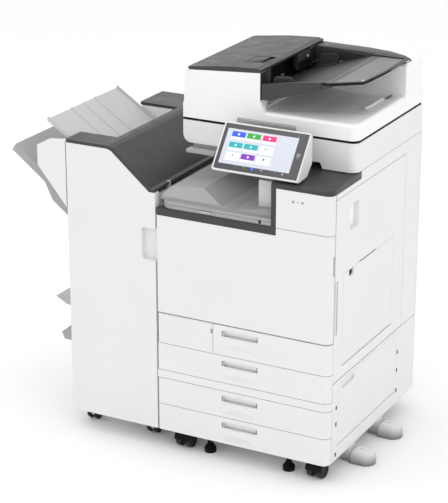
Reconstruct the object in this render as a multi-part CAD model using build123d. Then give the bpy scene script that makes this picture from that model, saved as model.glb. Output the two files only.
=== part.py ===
from build123d import *
import os
from math import atan2, degrees, hypot

# An office photocopier with a feeder on top, a two-drawer bank below and a
# stapling finisher on its left. Lengths are in millimetres. While it is
# modelled, X is 0 at the copier's left face and runs to the right, Y is 0 at
# its front face and runs to the rear, and Z is the height above the floor.

# Copier body
WIDTH = 587
DEPTH = 672
CORNER = 23                # round of the front right upright corner
SKIN = 3                   # wall of a moulded cover
FRONT = 24                 # depth of the covers and drawer fronts
SEAM = 0.8                 # half of the gap between two covers
SKIRT = 62                 # underside of the bank above the floor
DRAWER_SEAMS = (62, 152, 241.5, 268.7, 359.5, 458.6)
BANK_SIDE_TOP = 324.7      # where the bank's right side meets the copier's
TRIM_BOTTOM = 779
TRIM_TOP = 802
SHELF_LEFT = 389
SHELF_BOTTOM = 925
SHELF_TOP = 941
SHELF_REAR = 201
SIDE_FRAME_X = 538         # inner face of the copier's right side plate
REAR_FRAME_Y = 600

# Drawers
BIN_LEFT = 40
BIN_RIGHT = 530
BIN_REAR = 560
BIN_LIFT = 14              # underside of a bin above the seam below it
SMALL_DRAWER_LEFT = 195    # the top drawer leaves room for the waste bottle
HANDLE = (228, 346)
HANDLE_BULGE = 9

# Front covers, hinged on pins
PIN = 3                            # hinge pins of the doors and covers
PLAY = 0.05                        # running clearance of a pin in its bore
FRONT_HINGE = (9, 470)             # Y and Z of the front cover's hinge
FRONT_HINGE_X = (75, 515)
WASTE_HINGE = (9, 9)               # X and Y of the waste cover's hinge
WASTE_HINGE_Z = (380, 440)

# Print parts behind the front cover
TONER_X = (80, 175, 270, 365)
TONER_Z = 734
TONER_RADIUS = 31
DRUM_X = (90, 190, 290, 390)
DRUM_Z = 606
BELT_X = (80, 420)                 # axes of the transfer belt's end rollers
BELT_Z = 650

# Right side
DOOR_Y = (28.5, 548)
DOOR_Z = (326.2, 906)
DOOR_THICK = 42
BYPASS_Y = (89, 464)
BYPASS_Z = (365, 660)
BANK_DOOR_Y = (74, 510)
BANK_DOOR_Z = (108, 313)
RIGHT_HINGE = (579, 338)   # X and Z of the right door's hinge
RIGHT_HINGE_Y = (64, 512)
BYPASS_HINGE = (581, 373)
BANK_HINGE = (581.5, 114)

# Scanner and document feeder
SCANNER_FRONT = 164
SCANNER_REAR = 664
SCANNER_TOP = 1038
SCANNER_BOTTOM = 967
SCANNER_SIDE_BOTTOM = 948.5
FEEDER_BOTTOM = 1046
FEEDER_TOP = 1197
LID_TOP = 1096
REAR_TOP = 1190                    # top of the block behind the input tray
HINGE_Y = 667
HINGE_Z = 1053
HINGE_X = ((80, 150), (437, 507))
GLASS_Y = (205, 515)
GLASS_X = ((46, 78), (96, 536))
ROLLER = (215, 1172)               # X and Z of the pick-up roller
ROLLER_POSTS = (312, 412)
FEED_HINGE = (24.5, 1201.5)        # X and Z of the feed cover's hinge
FEED_HINGE_Y = (230, 540)
HEAD_RIGHT = 268                   # upright wall at the feeder's mouth
INPUT_LEFT = 272.5                 # left edge of the input tray
INPUT_SEAM = 467                   # joint between the tray and its end flap
INPUT_HINGE = (286, 1168)          # X and Z of the input tray's hinge
INPUT_HINGE_Y = (186, 533)
INPUT_LOW = 1150                   # paper face of the input tray at its left edge
INPUT_HIGH = 1207                  # paper face at the joint with the end flap
MOUTH_Y = (205, 517)
MOUTH_SILL = 1140
GUIDE_Y = (205, 519)               # faces of the two sheet guides

# Operating panel, leaning back from its lower front edge
PANEL_X = (190, 473)
PANEL_FOOT = (0, 953)      # Y and Z of the lower front edge
PANEL_HEAD = (95, 1075)    # Y and Z of the upper front edge
PANEL_PIVOT = (112, 1008)
PANEL_EARS = (274, 390)

# Finisher
FIN_LEFT = -320
FIN_RIGHT = -4
FIN_REAR = 620
FIN_TOP = 962
FIN_RIDGE = -171
FIN_SLOPE = ((-156, 957), (-24, 846))
FIN_SHEET = 6
SHIFT_TRAVEL = 220         # fall of the delivery tray
CAP = 10                   # thickness of the dark caps
DOOR_HINGE = (-311, 9)     # X and Y of the finisher door's hinge
DOOR_HINGE_Z = (180, 480, 800)
COVER_HINGE = (-10.5, 851.5)
COVER_Y = (102, 612)       # ends of the slanted cover
EXIT_ROLLER = (-168, 928)
BOOKLET_HINGE = (-330, 256)
BOOKLET_HINGE_Y = (130, 390)
TRAY_SLOTS = (156, 364)

# Casters
WHEEL_RADIUS = 28
WHEEL_WIDTH = 19
CASTER_PLACES = {"front_left": (75, 72), "front_right": (533, 72),
                 "rear_left": (75, 600), "rear_right": (497, 600)}
CASTER_TRAIL = 24
STEM_RADIUS = 6
FIXED_WHEEL_RADIUS = 24
FIXED_WHEEL_X = (-290, -65)
FIXED_WHEEL_Y = (90, 540)

# Feet
STABILISER_Y = (205, 418)
STABILISER_SCREW = 612
LEVELLER_X = (160, 435)
LEVELLER_Y = (48, 560)


# ---------------------------------------------------------------- shapes

def block(x, y, z):
    """A box between the (low, high) limits of each axis."""
    size = [high - low for low, high in (x, y, z)]
    centre = [(low + high) / 2 for low, high in (x, y, z)]
    return Pos(*centre) * Box(*size)


def prism_x(outline, x):
    """An outline of (Y, Z) points drawn out along X."""
    face = Plane.YZ.offset(x[0]) * make_face(Polyline(*outline, close=True))
    return extrude(face, x[1] - x[0], dir=(1, 0, 0))


def prism_y(outline, y):
    """An outline of (X, Z) points drawn out along Y."""
    face = Plane.XZ.offset(-y[0]) * make_face(Polyline(*outline, close=True))
    return extrude(face, y[1] - y[0], dir=(0, 1, 0))


def prism_z(outline, z):
    """An outline of (X, Y) points drawn out along Z."""
    face = Plane.XY.offset(z[0]) * make_face(Polyline(*outline, close=True))
    return extrude(face, z[1] - z[0], dir=(0, 0, 1))


def rod(axis, centre, radius, along):
    """A cylinder along an axis: centre holds the two other coordinates."""
    middle = (along[0] + along[1]) / 2
    length = along[1] - along[0]
    u, v = centre
    if axis == "x":
        return Pos(middle, u, v) * Rot(0, 90, 0) * Cylinder(radius, length)
    if axis == "y":
        return Pos(u, middle, v) * Rot(90, 0, 0) * Cylinder(radius, length)
    return Pos(u, v, middle) * Cylinder(radius, length)


def soften(solid, axis, radius, *corners):
    """Round the edges along an axis that pass through the given corners."""
    def spot(edge):
        at = edge.center()
        pairs = {Axis.X: (at.Y, at.Z), Axis.Y: (at.X, at.Z), Axis.Z: (at.X, at.Y)}
        return pairs[axis]

    chosen = []
    for edge in solid.edges().filter_by(axis):
        u, v = spot(edge)
        if any(hypot(u - a, v - b) < 0.2 for a, b in corners):
            chosen.append(edge)
    return fillet(chosen, radius)


def shell_front(outline, inner, corner=None):
    """A front cover: an outline in X and Z with a skin and open at the back."""
    outer = prism_y(outline, (0, FRONT))
    hollow = prism_y(inner, (SKIN, FRONT + 1))
    if corner:
        outer = soften(outer, Axis.Z, CORNER, (corner, 0))
        hollow = soften(hollow, Axis.Z, CORNER - SKIN, (corner - SKIN, SKIN))
    return outer - hollow


def rectangle(x, z):
    """The four corners of an upright rectangle."""
    return [(x[0], z[0]), (x[1], z[0]), (x[1], z[1]), (x[0], z[1])]


def inset(limits, amount):
    """Limits moved inwards by an amount."""
    return (limits[0] + amount, limits[1] - amount)


# ---------------------------------------------------------------- frame and covers

def main_frame():
    """Steel base, side and rear plates, decks and the arms of two hinges."""
    base = DRAWER_SEAMS[2] + 22
    deck = DRAWER_SEAMS[5]
    frame = block((5, 573), (29, 664), (base, base + 4))
    frame += block((5, 8), (29, 664), (base + 4, 799))
    frame += block((SIDE_FRAME_X, 541), (29, 664), (base + 4, 922))
    frame += block((SIDE_FRAME_X, 541), (205, 664), (922, 944))
    frame += block((8, SIDE_FRAME_X), (REAR_FRAME_Y, 603), (base + 4, 944))
    frame += block((20, 464), (REAR_FRAME_Y, 660), (944, 965))
    frame += block((8, SIDE_FRAME_X), (29, REAR_FRAME_Y), (deck, deck + 3))
    frame += block((8, 400), (66, REAR_FRAME_Y), (796, 799))
    frame += block((541, 573), (552, 664), (base + 4, 944))
    frame += block((541, 583), (205, 552), (910, 944))
    frame += block((186, 189), (66, REAR_FRAME_Y), (364, deck))
    for y in RIGHT_HINGE_Y:
        x, z = RIGHT_HINGE
        frame += block((541, x), (y - 5, y + 5), (z - 4.5, z + 4.5))
        frame += rod("y", RIGHT_HINGE, 4.5, (y - 5, y + 5))
        frame += rod("y", RIGHT_HINGE, PIN, (y - 17, y + 17))
    y, z = FRONT_HINGE
    for x in FRONT_HINGE_X:
        frame += block((x - 5, x + 5), (y - 4, 29), (z - 4, z + 4))
        frame += rod("x", FRONT_HINGE, PIN, (x - 17, x + 17))
        frame += block((x - 5, x + 5), (29, 34), (deck + 3, z + 4))
    x, y = WASTE_HINGE
    for z in WASTE_HINGE_Z:
        frame += block((x - 4, x + 4), (y - 4, 29), (z - 5, z + 5))
        frame += rod("z", WASTE_HINGE, PIN, (z - 15, z + 15))
    for low, left in ((DRAWER_SEAMS[3], 8), (DRAWER_SEAMS[4], 189)):
        for rail in ((left, left + 40), (520, SIDE_FRAME_X)):
            frame += block(rail, (50, REAR_FRAME_Y), (low + BIN_LIFT - 4, low + BIN_LIFT - 0.5))
    return frame


def inner_cover():
    """The moulding behind the front cover, with four toner bottle mouths."""
    plate = block((12, 534), (58, 62), (463, 774))
    for x in TONER_X:
        plate -= rod("y", (x, TONER_Z), TONER_RADIUS + 1, (50, 70))
    for x in DRUM_X:
        plate -= block((x - 34, x + 34), (50, 70), (560, 632))
    plate -= block((60, 480), (50, 70), (480, 500))
    return plate


def rear_cover():
    """The back panel, with two louvre fields and the power inlet."""
    plate = block((0, WIDTH), (SCANNER_REAR + 1, DEPTH), (264, 963))
    for row in range(12):
        low = 420 + row * 14
        plate -= block((60, 250), (SCANNER_REAR, DEPTH + 1), (low, low + 6))
        plate -= block((340, 520), (SCANNER_REAR, DEPTH + 1), (low, low + 6))
    plate -= block((478, 522), (DEPTH - 5, DEPTH + 1), (302, 334))
    for x in (489, 511):
        plate += block((x - 1, x + 1), (DEPTH - 5, DEPTH - 1), (314, 322))
    plate += block((499, 501), (DEPTH - 5, DEPTH - 1), (318, 326))
    return plate


def left_cover():
    """The plain left side, up to the sill of the delivery opening."""
    plate = block((0, 4), (29, SCANNER_REAR), (264, 800))
    plate -= block((-1, 2), (260, 360), (640, 700))
    return plate


def right_cover():
    """The fixed right side: the strip over the door and the rear strip."""
    x = (WIDTH - SKIN, WIDTH)
    plate = block(x, (28.5, 206), (908, 923.5))
    plate += block(x, (204, SCANNER_REAR), (908, 947))
    plate += block(x, (550, SCANNER_REAR), (DOOR_Z[0], 908))
    return plate


def upper_front_cover():
    """The fixed white cover at the right of the delivery opening."""
    x = (SHELF_LEFT + 16.5, WIDTH)
    z = (TRIM_TOP + SEAM, SHELF_BOTTOM - SEAM)
    cover = shell_front(rectangle(x, z), rectangle(inset(x, SKIN), inset(z, SKIN)), WIDTH)
    for offset, radius in ((55, 4), (70, 2.2), (85, 4)):
        cover -= rod("y", (x[0] + offset, 892), radius, (-1, 1.4))
    return cover


def exit_trim():
    """Dark frame under and beside the delivery opening, with the shelf."""
    post = (SHELF_LEFT, SHELF_LEFT + 15)
    trim = block((3, post[1]), (0, FRONT), (TRIM_BOTTOM, TRIM_TOP))
    trim += block(post, (0, FRONT), (TRIM_TOP, SHELF_BOTTOM))
    trim = soften(trim, Axis.Y, 6, (post[1], TRIM_BOTTOM))
    side = [(0, SHELF_BOTTOM), (SHELF_REAR, SHELF_BOTTOM), (SHELF_REAR, SHELF_TOP + 6),
            (8, SHELF_TOP), (0, SHELF_TOP - 4)]
    shelf = prism_x(side, (SHELF_LEFT, WIDTH))
    shelf = soften(shelf, Axis.Z, CORNER, (WIDTH, 0))
    return trim + shelf


# ---------------------------------------------------------------- delivery and print parts

def bridge_unit():
    """The delivery tray that carries sheets across to the finisher."""
    low = TRIM_TOP + SEAM
    base = block((6, 387), (5, 590), (low, 824))
    base = soften(base, Axis.Z, 45, (6, 5))
    seam = block((0, 390), (0, 9), (low + 12, low + 13.2))
    top = [(6, 824), (6, 838), (24, 856), (128, 862), (216, 832), (262, 830), (387, 846), (387, 824)]
    front = [(5, 824), (70, 862), (70, 880), (0, 880)]
    hump = prism_y(top, (22, 590)) - prism_x(front, (0, 400))
    column = block((318, 387), (60, 596), (836, 922))
    column = soften(column, Axis.Z, 8, (318, 60))
    for row in range(11):
        y = 110 + row * 40
        column += block((314, 318), (y, y + 4), (850, 915))
    column -= block((310, 388), (112, 560), (880, 890))
    return base - seam + hump + column


def laser_unit():
    """The flat optical box that writes on the four drums from below."""
    case = block((60, 480), (90, 560), (466, 530))
    case = soften(case, Axis.Z, 12, (60, 90), (480, 90), (480, 560), (60, 560))
    case -= block((66, 474), (96, 554), (465, 522))
    for x in DRUM_X:
        case -= block((x - 4, x + 4), (110, 540), (527, 531))
    return case


def belt_loop(radius, y):
    """A solid in the shape of a belt round the two end rollers."""
    loop = block(BELT_X, y, (BELT_Z - radius, BELT_Z + radius))
    for x in BELT_X:
        loop += rod("y", (x, BELT_Z), radius, y)
    return loop


def imaging_unit():
    """Four drum cartridges and, above them, the transfer belt on its rollers."""
    pieces = []
    for x in DRUM_X:
        shell = block((x - 32, x + 32), (56, 570), (562, 600))
        shell -= rod("y", (x, DRUM_Z), 16, (80, 580))
        pieces += [shell, rod("y", (x, DRUM_Z), 15, (84, 560))]
    belt = belt_loop(22, (90, 560)) - belt_loop(20, (80, 570))
    pieces.append(belt)
    for x in BELT_X:
        pieces.append(rod("y", (x, BELT_Z), 19, (80, 570)))
    return Compound(children=[piece.solid() for piece in pieces])


def fuser_unit():
    """Two fusing rollers in their box, at the top of the paper path."""
    box = block((430, 530), (80, 560), (810, 900))
    box -= block((445, 515), (86, 554), (815, 895))
    box -= block((470, 490), (100, 540), (800, 910))
    hot = rod("y", (462, 855), 15, (86, 554))
    press = rod("y", (497, 855), 17, (86, 554))
    return Compound(children=[box.solid(), hot.solid(), press.solid()])


def toner_bottles():
    """Four bottles with spiral ribs and a round cap at the front."""
    bottles = []
    for x in TONER_X:
        centre = (x, TONER_Z)
        bottle = rod("y", centre, TONER_RADIUS - 3, (72, 500))
        bottle += rod("y", centre, TONER_RADIUS, (54, 72))
        for ring in range(13):
            y = 100 + ring * 30
            bottle += rod("y", centre, TONER_RADIUS, (y, y + 6))
        bottle -= block((x - 22, x + 22), (50, 60), (TONER_Z - 3, TONER_Z + 3))
        bottles.append(bottle.solid())
    return Compound(children=bottles)


def waste_toner_bottle():
    """The flat bottle behind the small cover beside the top drawer."""
    bottle = block((30, 180), (40, 540), (372, 448))
    bottle = soften(bottle, Axis.Y, 8, (30, 372), (180, 372), (30, 448), (180, 448))
    return bottle - block((80, 130), (39, 52), (395, 425))


# ---------------------------------------------------------------- front doors

def front_cover():
    """The big front cover, hinged along its lower edge, with a side grip."""
    low = DRAWER_SEAMS[5] + SEAM + 1
    high = TRIM_BOTTOM - SEAM
    step = SHELF_LEFT + 16.5
    top = TRIM_TOP - SEAM
    x = (3, WIDTH)
    outline = [(x[0], low), (x[1], low), (x[1], top), (step, top), (step, high), (x[0], high)]
    inner = [(x[0] + SKIN, low + SKIN), (x[1] - SKIN, low + SKIN), (x[1] - SKIN, top - SKIN),
             (step + SKIN, top - SKIN), (step + SKIN, high - SKIN), (x[0] + SKIN, high - SKIN)]
    cover = shell_front(outline, inner, WIDTH)
    cover = soften(cover, Axis.X, 4, (0, low))
    cover -= block((WIDTH - 4, WIDTH + 1), (16, FRONT + 1), (676, 737))
    cover += block((WIDTH - 12, WIDTH - 6), (10, 22), (670, 743))
    y, z = FRONT_HINGE
    for hinge in FRONT_HINGE_X:
        cover -= block((hinge - 7, hinge + 7), (SKIN, FRONT + 1), (low - 1, low + SKIN + 1))
        for side in (-1, 1):
            ends = sorted((hinge + side * 6.5, hinge + side * 16))
            cover += block(ends, (SKIN - 1, y), (z - 6, z + 6)) + rod("x", FRONT_HINGE, 6, ends)
        cover -= rod("x", FRONT_HINGE, PIN + PLAY, (hinge - 17.5, hinge + 17.5))
    return cover


def waste_cover():
    """The small cover left of the top drawer, hinged on its left edge."""
    x = (3, SMALL_DRAWER_LEFT - SEAM)
    z = (DRAWER_SEAMS[4] + SEAM, DRAWER_SEAMS[5] - SEAM)
    cover = shell_front(rectangle(x, z), rectangle(inset(x, SKIN), inset(z, SKIN)))
    cover = soften(cover, Axis.Z, 4, (x[0], 0))
    px, py = WASTE_HINGE
    for hinge in WASTE_HINGE_Z:
        cover -= block((x[0] - 1, x[0] + SKIN + 1), (SKIN, FRONT + 1), (hinge - 7, hinge + 7))
        for side in (-1, 1):
            ends = sorted((hinge + side * 6, hinge + side * 14))
            cover += block((px - 1, px + 6), (SKIN - 1, py), ends) + rod("z", WASTE_HINGE, 5.5, ends)
        cover -= rod("z", WASTE_HINGE, PIN + PLAY, (hinge - 16, hinge + 16))
    cover -= block((x[1] - 7, x[1] + 1), (-1, 4), (425, 441))
    return cover + block((x[1] - 6, x[1] - 1), (1, 4.5), (426, 440))


# ---------------------------------------------------------------- drawers

def drawer_span(index):
    """Lower and upper edge of a drawer front; drawer 1 is the top one."""
    low = (None, 4, 3, 1, 0)[index]
    return (DRAWER_SEAMS[low] + SEAM, DRAWER_SEAMS[low + 1] - SEAM)


def drawer_left(index):
    """Left end of a drawer front."""
    return SMALL_DRAWER_LEFT + SEAM if index == 1 else 3


def drawer_front(index):
    """A drawer's face with a scooped recess behind a bowed grip."""
    z = drawer_span(index)
    x = (drawer_left(index), WIDTH)
    face = block(x, (0, FRONT + 3), z)
    face = soften(face, Axis.Z, CORNER, (WIDTH, 0))
    back = block(inset(x, 8), (12, FRONT + 4), inset(z, 6))
    back = soften(back, Axis.Z, 14, (WIDTH - 8, 12))
    recess_top = z[1] - 14
    grip_top = z[1] - 36
    grip_foot = z[1] - 76
    middle = (HANDLE[0] + HANDLE[1]) / 2
    scoop = block(HANDLE, (-1, 17), (grip_top - 14, recess_top))
    scoop = soften(scoop, Axis.Y, 9, (HANDLE[0], recess_top), (HANDLE[1], recess_top))
    hollow = [(-1, recess_top), (2, recess_top), (9, recess_top - 6), (15, grip_top),
              (15, grip_top - 14), (-1, grip_top - 14)]
    scoop = scoop & prism_x(hollow, HANDLE)
    pocket_wall = block((HANDLE[0] - 4, HANDLE[1] + 4), (1, 21), (grip_top - 18, recess_top + 4))
    bow = ThreePointArc((HANDLE[0], 0), (middle, -HANDLE_BULGE), (HANDLE[1], 0))
    rim = Polyline((HANDLE[1], 0), (HANDLE[1], 5), (HANDLE[0], 5), (HANDLE[0], 0))
    grip = extrude(Plane.XY.offset(grip_foot) * make_face(bow + rim), grip_top - grip_foot, dir=(0, 0, 1))
    slant = [(-HANDLE_BULGE - 1, grip_foot - 1), (1, grip_foot - 1), (-HANDLE_BULGE - 1, grip_foot + 26)]
    grip -= prism_x(slant, HANDLE)
    return face - back + pocket_wall - scoop + grip


def drawer_bin(index):
    """A drawer's paper bin with its lift plate, end fence and side fences."""
    low, high = drawer_span(index)
    left = SMALL_DRAWER_LEFT + 10 if index == 1 else BIN_LEFT
    x = (left, BIN_RIGHT)
    y = (FRONT + 3, BIN_REAR)
    z = (low - SEAM + BIN_LIFT, high - 8)
    tub = block(x, y, z) - block(inset(x, 3), inset(y, 4), (z[0] + 3, z[1] + 1))
    plate = block((left + 60, BIN_RIGHT - 12), (y[0] + 60, y[1] - 60), (z[0] + 8, z[0] + 10))
    foot = block((left + 70, left + 90), (250, 330), (z[0] + 3, z[0] + 8))
    tub += plate + foot
    for fence in (y[0] + 45, y[1] - 48):
        tub += block((left + 160, BIN_RIGHT - 60), (fence, fence + 3), (z[0] + 2, z[1] - 6))
    return tub + block((left + 30, left + 34), (230, 350), (z[0] + 2, z[1] - 8))


# ---------------------------------------------------------------- bank, feet and casters

def bank_case():
    """The two-drawer bank that the copier stands on."""
    top = 262
    case = block((0, WIDTH), (FRONT + 5, DEPTH), (SKIRT, SKIRT + 12))
    case += block((0, 10), (FRONT + 5, DEPTH), (SKIRT, top))
    case += block((0, WIDTH), (DEPTH - 10, DEPTH), (SKIRT, top))
    case += block((0, WIDTH - 12), (FRONT + 5, DEPTH), (top - 8, top))
    band = block((0, WIDTH), (0, FRONT + 5), (DRAWER_SEAMS[2] + SEAM, DRAWER_SEAMS[3] - SEAM))
    band = soften(band, Axis.Z, CORNER, (WIDTH, 0))
    case += band
    case -= block((6, WIDTH - 8), (FRONT, FRONT + 6), (top, DRAWER_SEAMS[3]))
    wall = block((WIDTH - 12, WIDTH), (FRONT + 5, DEPTH), (SKIRT, BANK_SIDE_TOP - SEAM))
    wall -= block((WIDTH - 13, WIDTH - 4), (FRONT + 4, DEPTH + 1), (top, BANK_SIDE_TOP))
    wall -= block((WIDTH - 13, WIDTH + 1), (SCANNER_REAR + 0.5, DEPTH + 1), (top, BANK_SIDE_TOP))
    wall -= block((WIDTH - 20, WIDTH + 1), (BANK_DOOR_Y[0] - SEAM, BANK_DOOR_Y[1] + SEAM),
                  (BANK_DOOR_Z[0] - 2, BANK_DOOR_Z[1] + SEAM))
    wall -= rod("y", BANK_HINGE, PIN + PLAY, (BANK_DOOR_Y[0] - 10, BANK_DOOR_Y[1] + 10))
    for y, heights in ((57, (238, 183, 81)), (527, (242, 179, 108))):
        for z in heights:
            wall -= block((WIDTH - 4, WIDTH + 1), (y - 4.7, y + 4.7), (z - 6.7, z + 6.7))
    case += wall
    for low in (DRAWER_SEAMS[0], DRAWER_SEAMS[1]):
        for rail in ((10, 50), (520, WIDTH - 12)):
            case += block(rail, (50, 640), (low + BIN_LIFT - 4, low + BIN_LIFT - 0.5))
    for place in CASTER_PLACES.values():
        case -= rod("z", place, STEM_RADIUS + PLAY, (SKIRT - 1, SKIRT + 9))
    return case


def stabiliser_feet():
    """Two rounded wedges that reach out at the right against tipping."""
    feet = []
    half, top = 33, 43
    for y in STABILISER_Y:
        shoe = block((580, 657), (y - half, y + half), (0, top))
        shoe = soften(shoe, Axis.Z, half - 1, (657, y - half), (657, y + half))
        shoe = soften(shoe, Axis.Z, 12, (580, y - half), (580, y + half))
        rims = [edge for edge in shoe.edges() if edge.bounding_box().min.Z > top - 1]
        shoe = fillet(rims, 19)
        arm = block((547, 600), (y - 22, y + 22), (6, 34)) + block((547, 578), (y - 22, y + 22), (6, SKIRT))
        foot = shoe + arm - rod("z", (STABILISER_SCREW, y), 3, (38, top + 1))
        feet.append(foot.solid())
    return Compound(children=feet)


def levelling_feet():
    """Four screw feet between the casters."""
    feet = []
    for x in LEVELLER_X:
        for y in LEVELLER_Y:
            foot = rod("z", (x, y), 19, (0, 14)) + rod("z", (x, y), 14, (14, 22))
            foot += rod("z", (x, y), 8, (22, SKIRT))
            feet.append(foot.solid())
    return Compound(children=feet)


def caster_axle(x, y):
    """Y of a swivel caster's axle: it trails towards the front."""
    return y - CASTER_TRAIL


def caster_fork(x, y):
    """The body of a twin-wheel caster: stem, web and hood."""
    axle_y = caster_axle(x, y)
    axle = (axle_y, WHEEL_RADIUS)
    half = 7.5
    web = rod("x", axle, WHEEL_RADIUS - 5, (x - half, x + half))
    web += block((x - half, x + half), (axle_y, y + 10), (WHEEL_RADIUS - 6, SKIRT - 2))
    width = (x - half - WHEEL_WIDTH - 1, x + half + WHEEL_WIDTH + 1)
    hood = rod("x", axle, WHEEL_RADIUS + 4.5, width) - rod("x", axle, WHEEL_RADIUS + 1.5, width)
    hood -= block((x - 60, x + 60), (axle_y - 60, axle_y + 60), (-20, WHEEL_RADIUS + 2))
    fork = web + hood + rod("z", (x, y), 9.5, (SKIRT - 12, SKIRT - 1))
    fork += rod("z", (x, y), STEM_RADIUS, (SKIRT - 2, SKIRT + 8))
    return fork - rod("x", axle, 4 + PLAY, (x - 40, x + 40))


def wheel_pair(x, centre, radius, width, half):
    """Two wheels on one axle along X, either side of a web."""
    pair = rod("x", centre, 4, (x - half - 2, x + half + 2))
    for side in (-1, 1):
        near = half + 0.8
        limits = sorted((x + side * near, x + side * (near + width)))
        tread = soften_rim(rod("x", centre, radius, limits))
        outer = sorted((x + side * (near + width - 3), x + side * (near + width + 1)))
        tread -= rod("x", centre, radius - 8, outer)
        pair += tread
    return pair


def soften_rim(wheel):
    """Round both rims of a wheel."""
    rims = wheel.edges().filter_by(GeomType.CIRCLE)
    return fillet(rims, 3)


def caster_wheels(x, y):
    """The wheel pair of a swivel caster."""
    return wheel_pair(x, (caster_axle(x, y), WHEEL_RADIUS), WHEEL_RADIUS, WHEEL_WIDTH - 1, 7.5)


def finisher_wheels(y):
    """The two coaxial wheel pairs at the front or the rear of the finisher."""
    pairs = [wheel_pair(x, (y, FIXED_WHEEL_RADIUS), FIXED_WHEEL_RADIUS, 12, 6) for x in FIXED_WHEEL_X]
    return Compound(children=[pair.solid() for pair in pairs])


# ---------------------------------------------------------------- right side

def right_door():
    """The side door with the duplex path, a grip and the bypass recess."""
    x = (WIDTH - DOOR_THICK, WIDTH)
    door = block(x, DOOR_Y, DOOR_Z)
    door = soften(door, Axis.Y, 2.5, (WIDTH, DOOR_Z[0]))
    inner_z = (380, DOOR_Z[1] - 6)
    door -= block((x[0] - 1, x[1] - 21), inset(DOOR_Y, 6), inner_z)
    door -= block((x[0] - 1, 570), (40, 537), (DOOR_Z[0] + 6, 381))
    bypass = (BYPASS_Y[0] - SEAM, BYPASS_Y[1] + SEAM)
    door -= block((WIDTH - 17, WIDTH + 1), bypass, (BYPASS_Z[0] - 3, BYPASS_Z[1] + SEAM))
    door -= rod("y", BYPASS_HINGE, PIN + PLAY, (BYPASS_Y[0] - 8, BYPASS_Y[1] + 8))
    door -= block((WIDTH - 17, WIDTH + 1), (203, 327), (BYPASS_Z[1], BYPASS_Z[1] + 3.5))
    grip = block((WIDTH - 17, WIDTH + 1), (126, 188), (785, 864))
    grip = soften(grip, Axis.X, 10, (126, 785), (188, 785), (126, 864), (188, 864))
    door -= grip
    for row in range(20):
        z = 482 + row * 8.6
        door -= block((WIDTH - 8, WIDTH + 1), (31, 35), (z, z + 3.6))
        door -= block((WIDTH - 8, WIDTH + 1), (41, 50), (z, z + 3.6))
    for y in (90, 462):
        door += block((x[0] + 2, x[1] - 21), (y, y + 4), inner_z)
    for y in RIGHT_HINGE_Y:
        door -= block((x[0] - 1, WIDTH - SKIN), (y - 7, y + 7), (DOOR_Z[0] - 1, 352))
        door -= rod("y", RIGHT_HINGE, PIN + PLAY, (y - 18, y + 18))
    return door


def bypass_tray():
    """The multi-sheet tray that folds down from the right door."""
    x = (WIDTH - 13, WIDTH)
    tray = block(x, BYPASS_Y, BYPASS_Z)
    tray = soften(tray, Axis.Y, 3, (WIDTH, BYPASS_Z[0]), (x[0], BYPASS_Z[0]))
    tray -= block((x[0] - 1, x[0] + 7), inset(BYPASS_Y, 10), (BYPASS_Z[0] + 22, BYPASS_Z[1] - 10))
    notch = block((WIDTH - 9, WIDTH + 1), (128, 161), (638, BYPASS_Z[1] + 1))
    tray -= soften(notch, Axis.X, 8, (128, 638), (161, 638))
    for fence in (170, 380):
        tray += block((x[0] + 1, x[0] + 7), (fence, fence + 4), (BYPASS_Z[0] + 60, BYPASS_Z[1] - 60))
    for side in (BYPASS_Y[0], BYPASS_Y[1]):
        tray += rod("y", BYPASS_HINGE, PIN, (side - 6, side + 6))
    return tray


def bank_door():
    """The bank's jam door with a scooped grip."""
    x = (WIDTH - 10, WIDTH)
    door = block(x, BANK_DOOR_Y, BANK_DOOR_Z)
    door = soften(door, Axis.Y, 2.5, (WIDTH, BANK_DOOR_Z[0]), (x[0], BANK_DOOR_Z[0]))
    grip = block((WIDTH - 7, WIDTH + 1), (95, 187), (285, 306))
    door -= soften(grip, Axis.X, 8, (95, 285), (187, 285))
    for side in BANK_DOOR_Y:
        door += rod("y", BANK_HINGE, PIN, (side - 7, side + 7))
    return door


# ---------------------------------------------------------------- scanner and feeder

def scanner_housing():
    """The scanner's tub with its deck, glass seats and two hinge posts."""
    side = [(6, SCANNER_TOP), (6, SCANNER_BOTTOM), (469, SCANNER_BOTTOM), (476, SCANNER_SIDE_BOTTOM),
            (WIDTH, SCANNER_SIDE_BOTTOM), (WIDTH, SCANNER_TOP)]
    tub = prism_y(side, (SCANNER_FRONT, SCANNER_REAR))
    tub = soften(tub, Axis.Y, 26, (6, SCANNER_BOTTOM))
    tub = soften(tub, Axis.Z, 28, (WIDTH, SCANNER_FRONT))
    tub -= block((34, 560), (SCANNER_FRONT + 22, SCANNER_REAR - 16), (974, SCANNER_TOP - 6))
    for x in GLASS_X:
        tub -= block(x, GLASS_Y, (SCANNER_TOP - 4, SCANNER_TOP + 1))
        tub -= block(inset(x, 4), inset(GLASS_Y, 4), (SCANNER_TOP - 8, SCANNER_TOP))
    for low, high in HINGE_X:
        for ends in ((low, low + 12), (high - 12, high)):
            post = block(ends, (SCANNER_REAR - 6, HINGE_Y + 8), (1020, HINGE_Z))
            tub += post + rod("x", (HINGE_Y, HINGE_Z), 8, ends)
        tub += rod("x", (HINGE_Y, HINGE_Z), 4, (low, high))
    tub += rod("x", (SCANNER_REAR - 60, 984), 4, (34, 560))
    return tub


def exposure_glass():
    """The book glass and the narrow glass for the feeder."""
    panes = [block(inset(x, 0.2), inset(GLASS_Y, 0.2), (SCANNER_TOP - 4, SCANNER_TOP)) for x in GLASS_X]
    return Compound(children=[pane.solid() for pane in panes])


def scan_carriage():
    """The lamp and mirror carriage that slides under the glass."""
    carriage = block((48, 108), (200, 640), (990, 1026))
    carriage -= block((68, 88), (215, 515), (1004, 1027))
    carriage += block((55, 101), (SCANNER_REAR - 72, SCANNER_REAR - 48), (978, 990))
    return carriage - rod("x", (SCANNER_REAR - 60, 984), 4 + PLAY, (40, 120))


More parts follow.
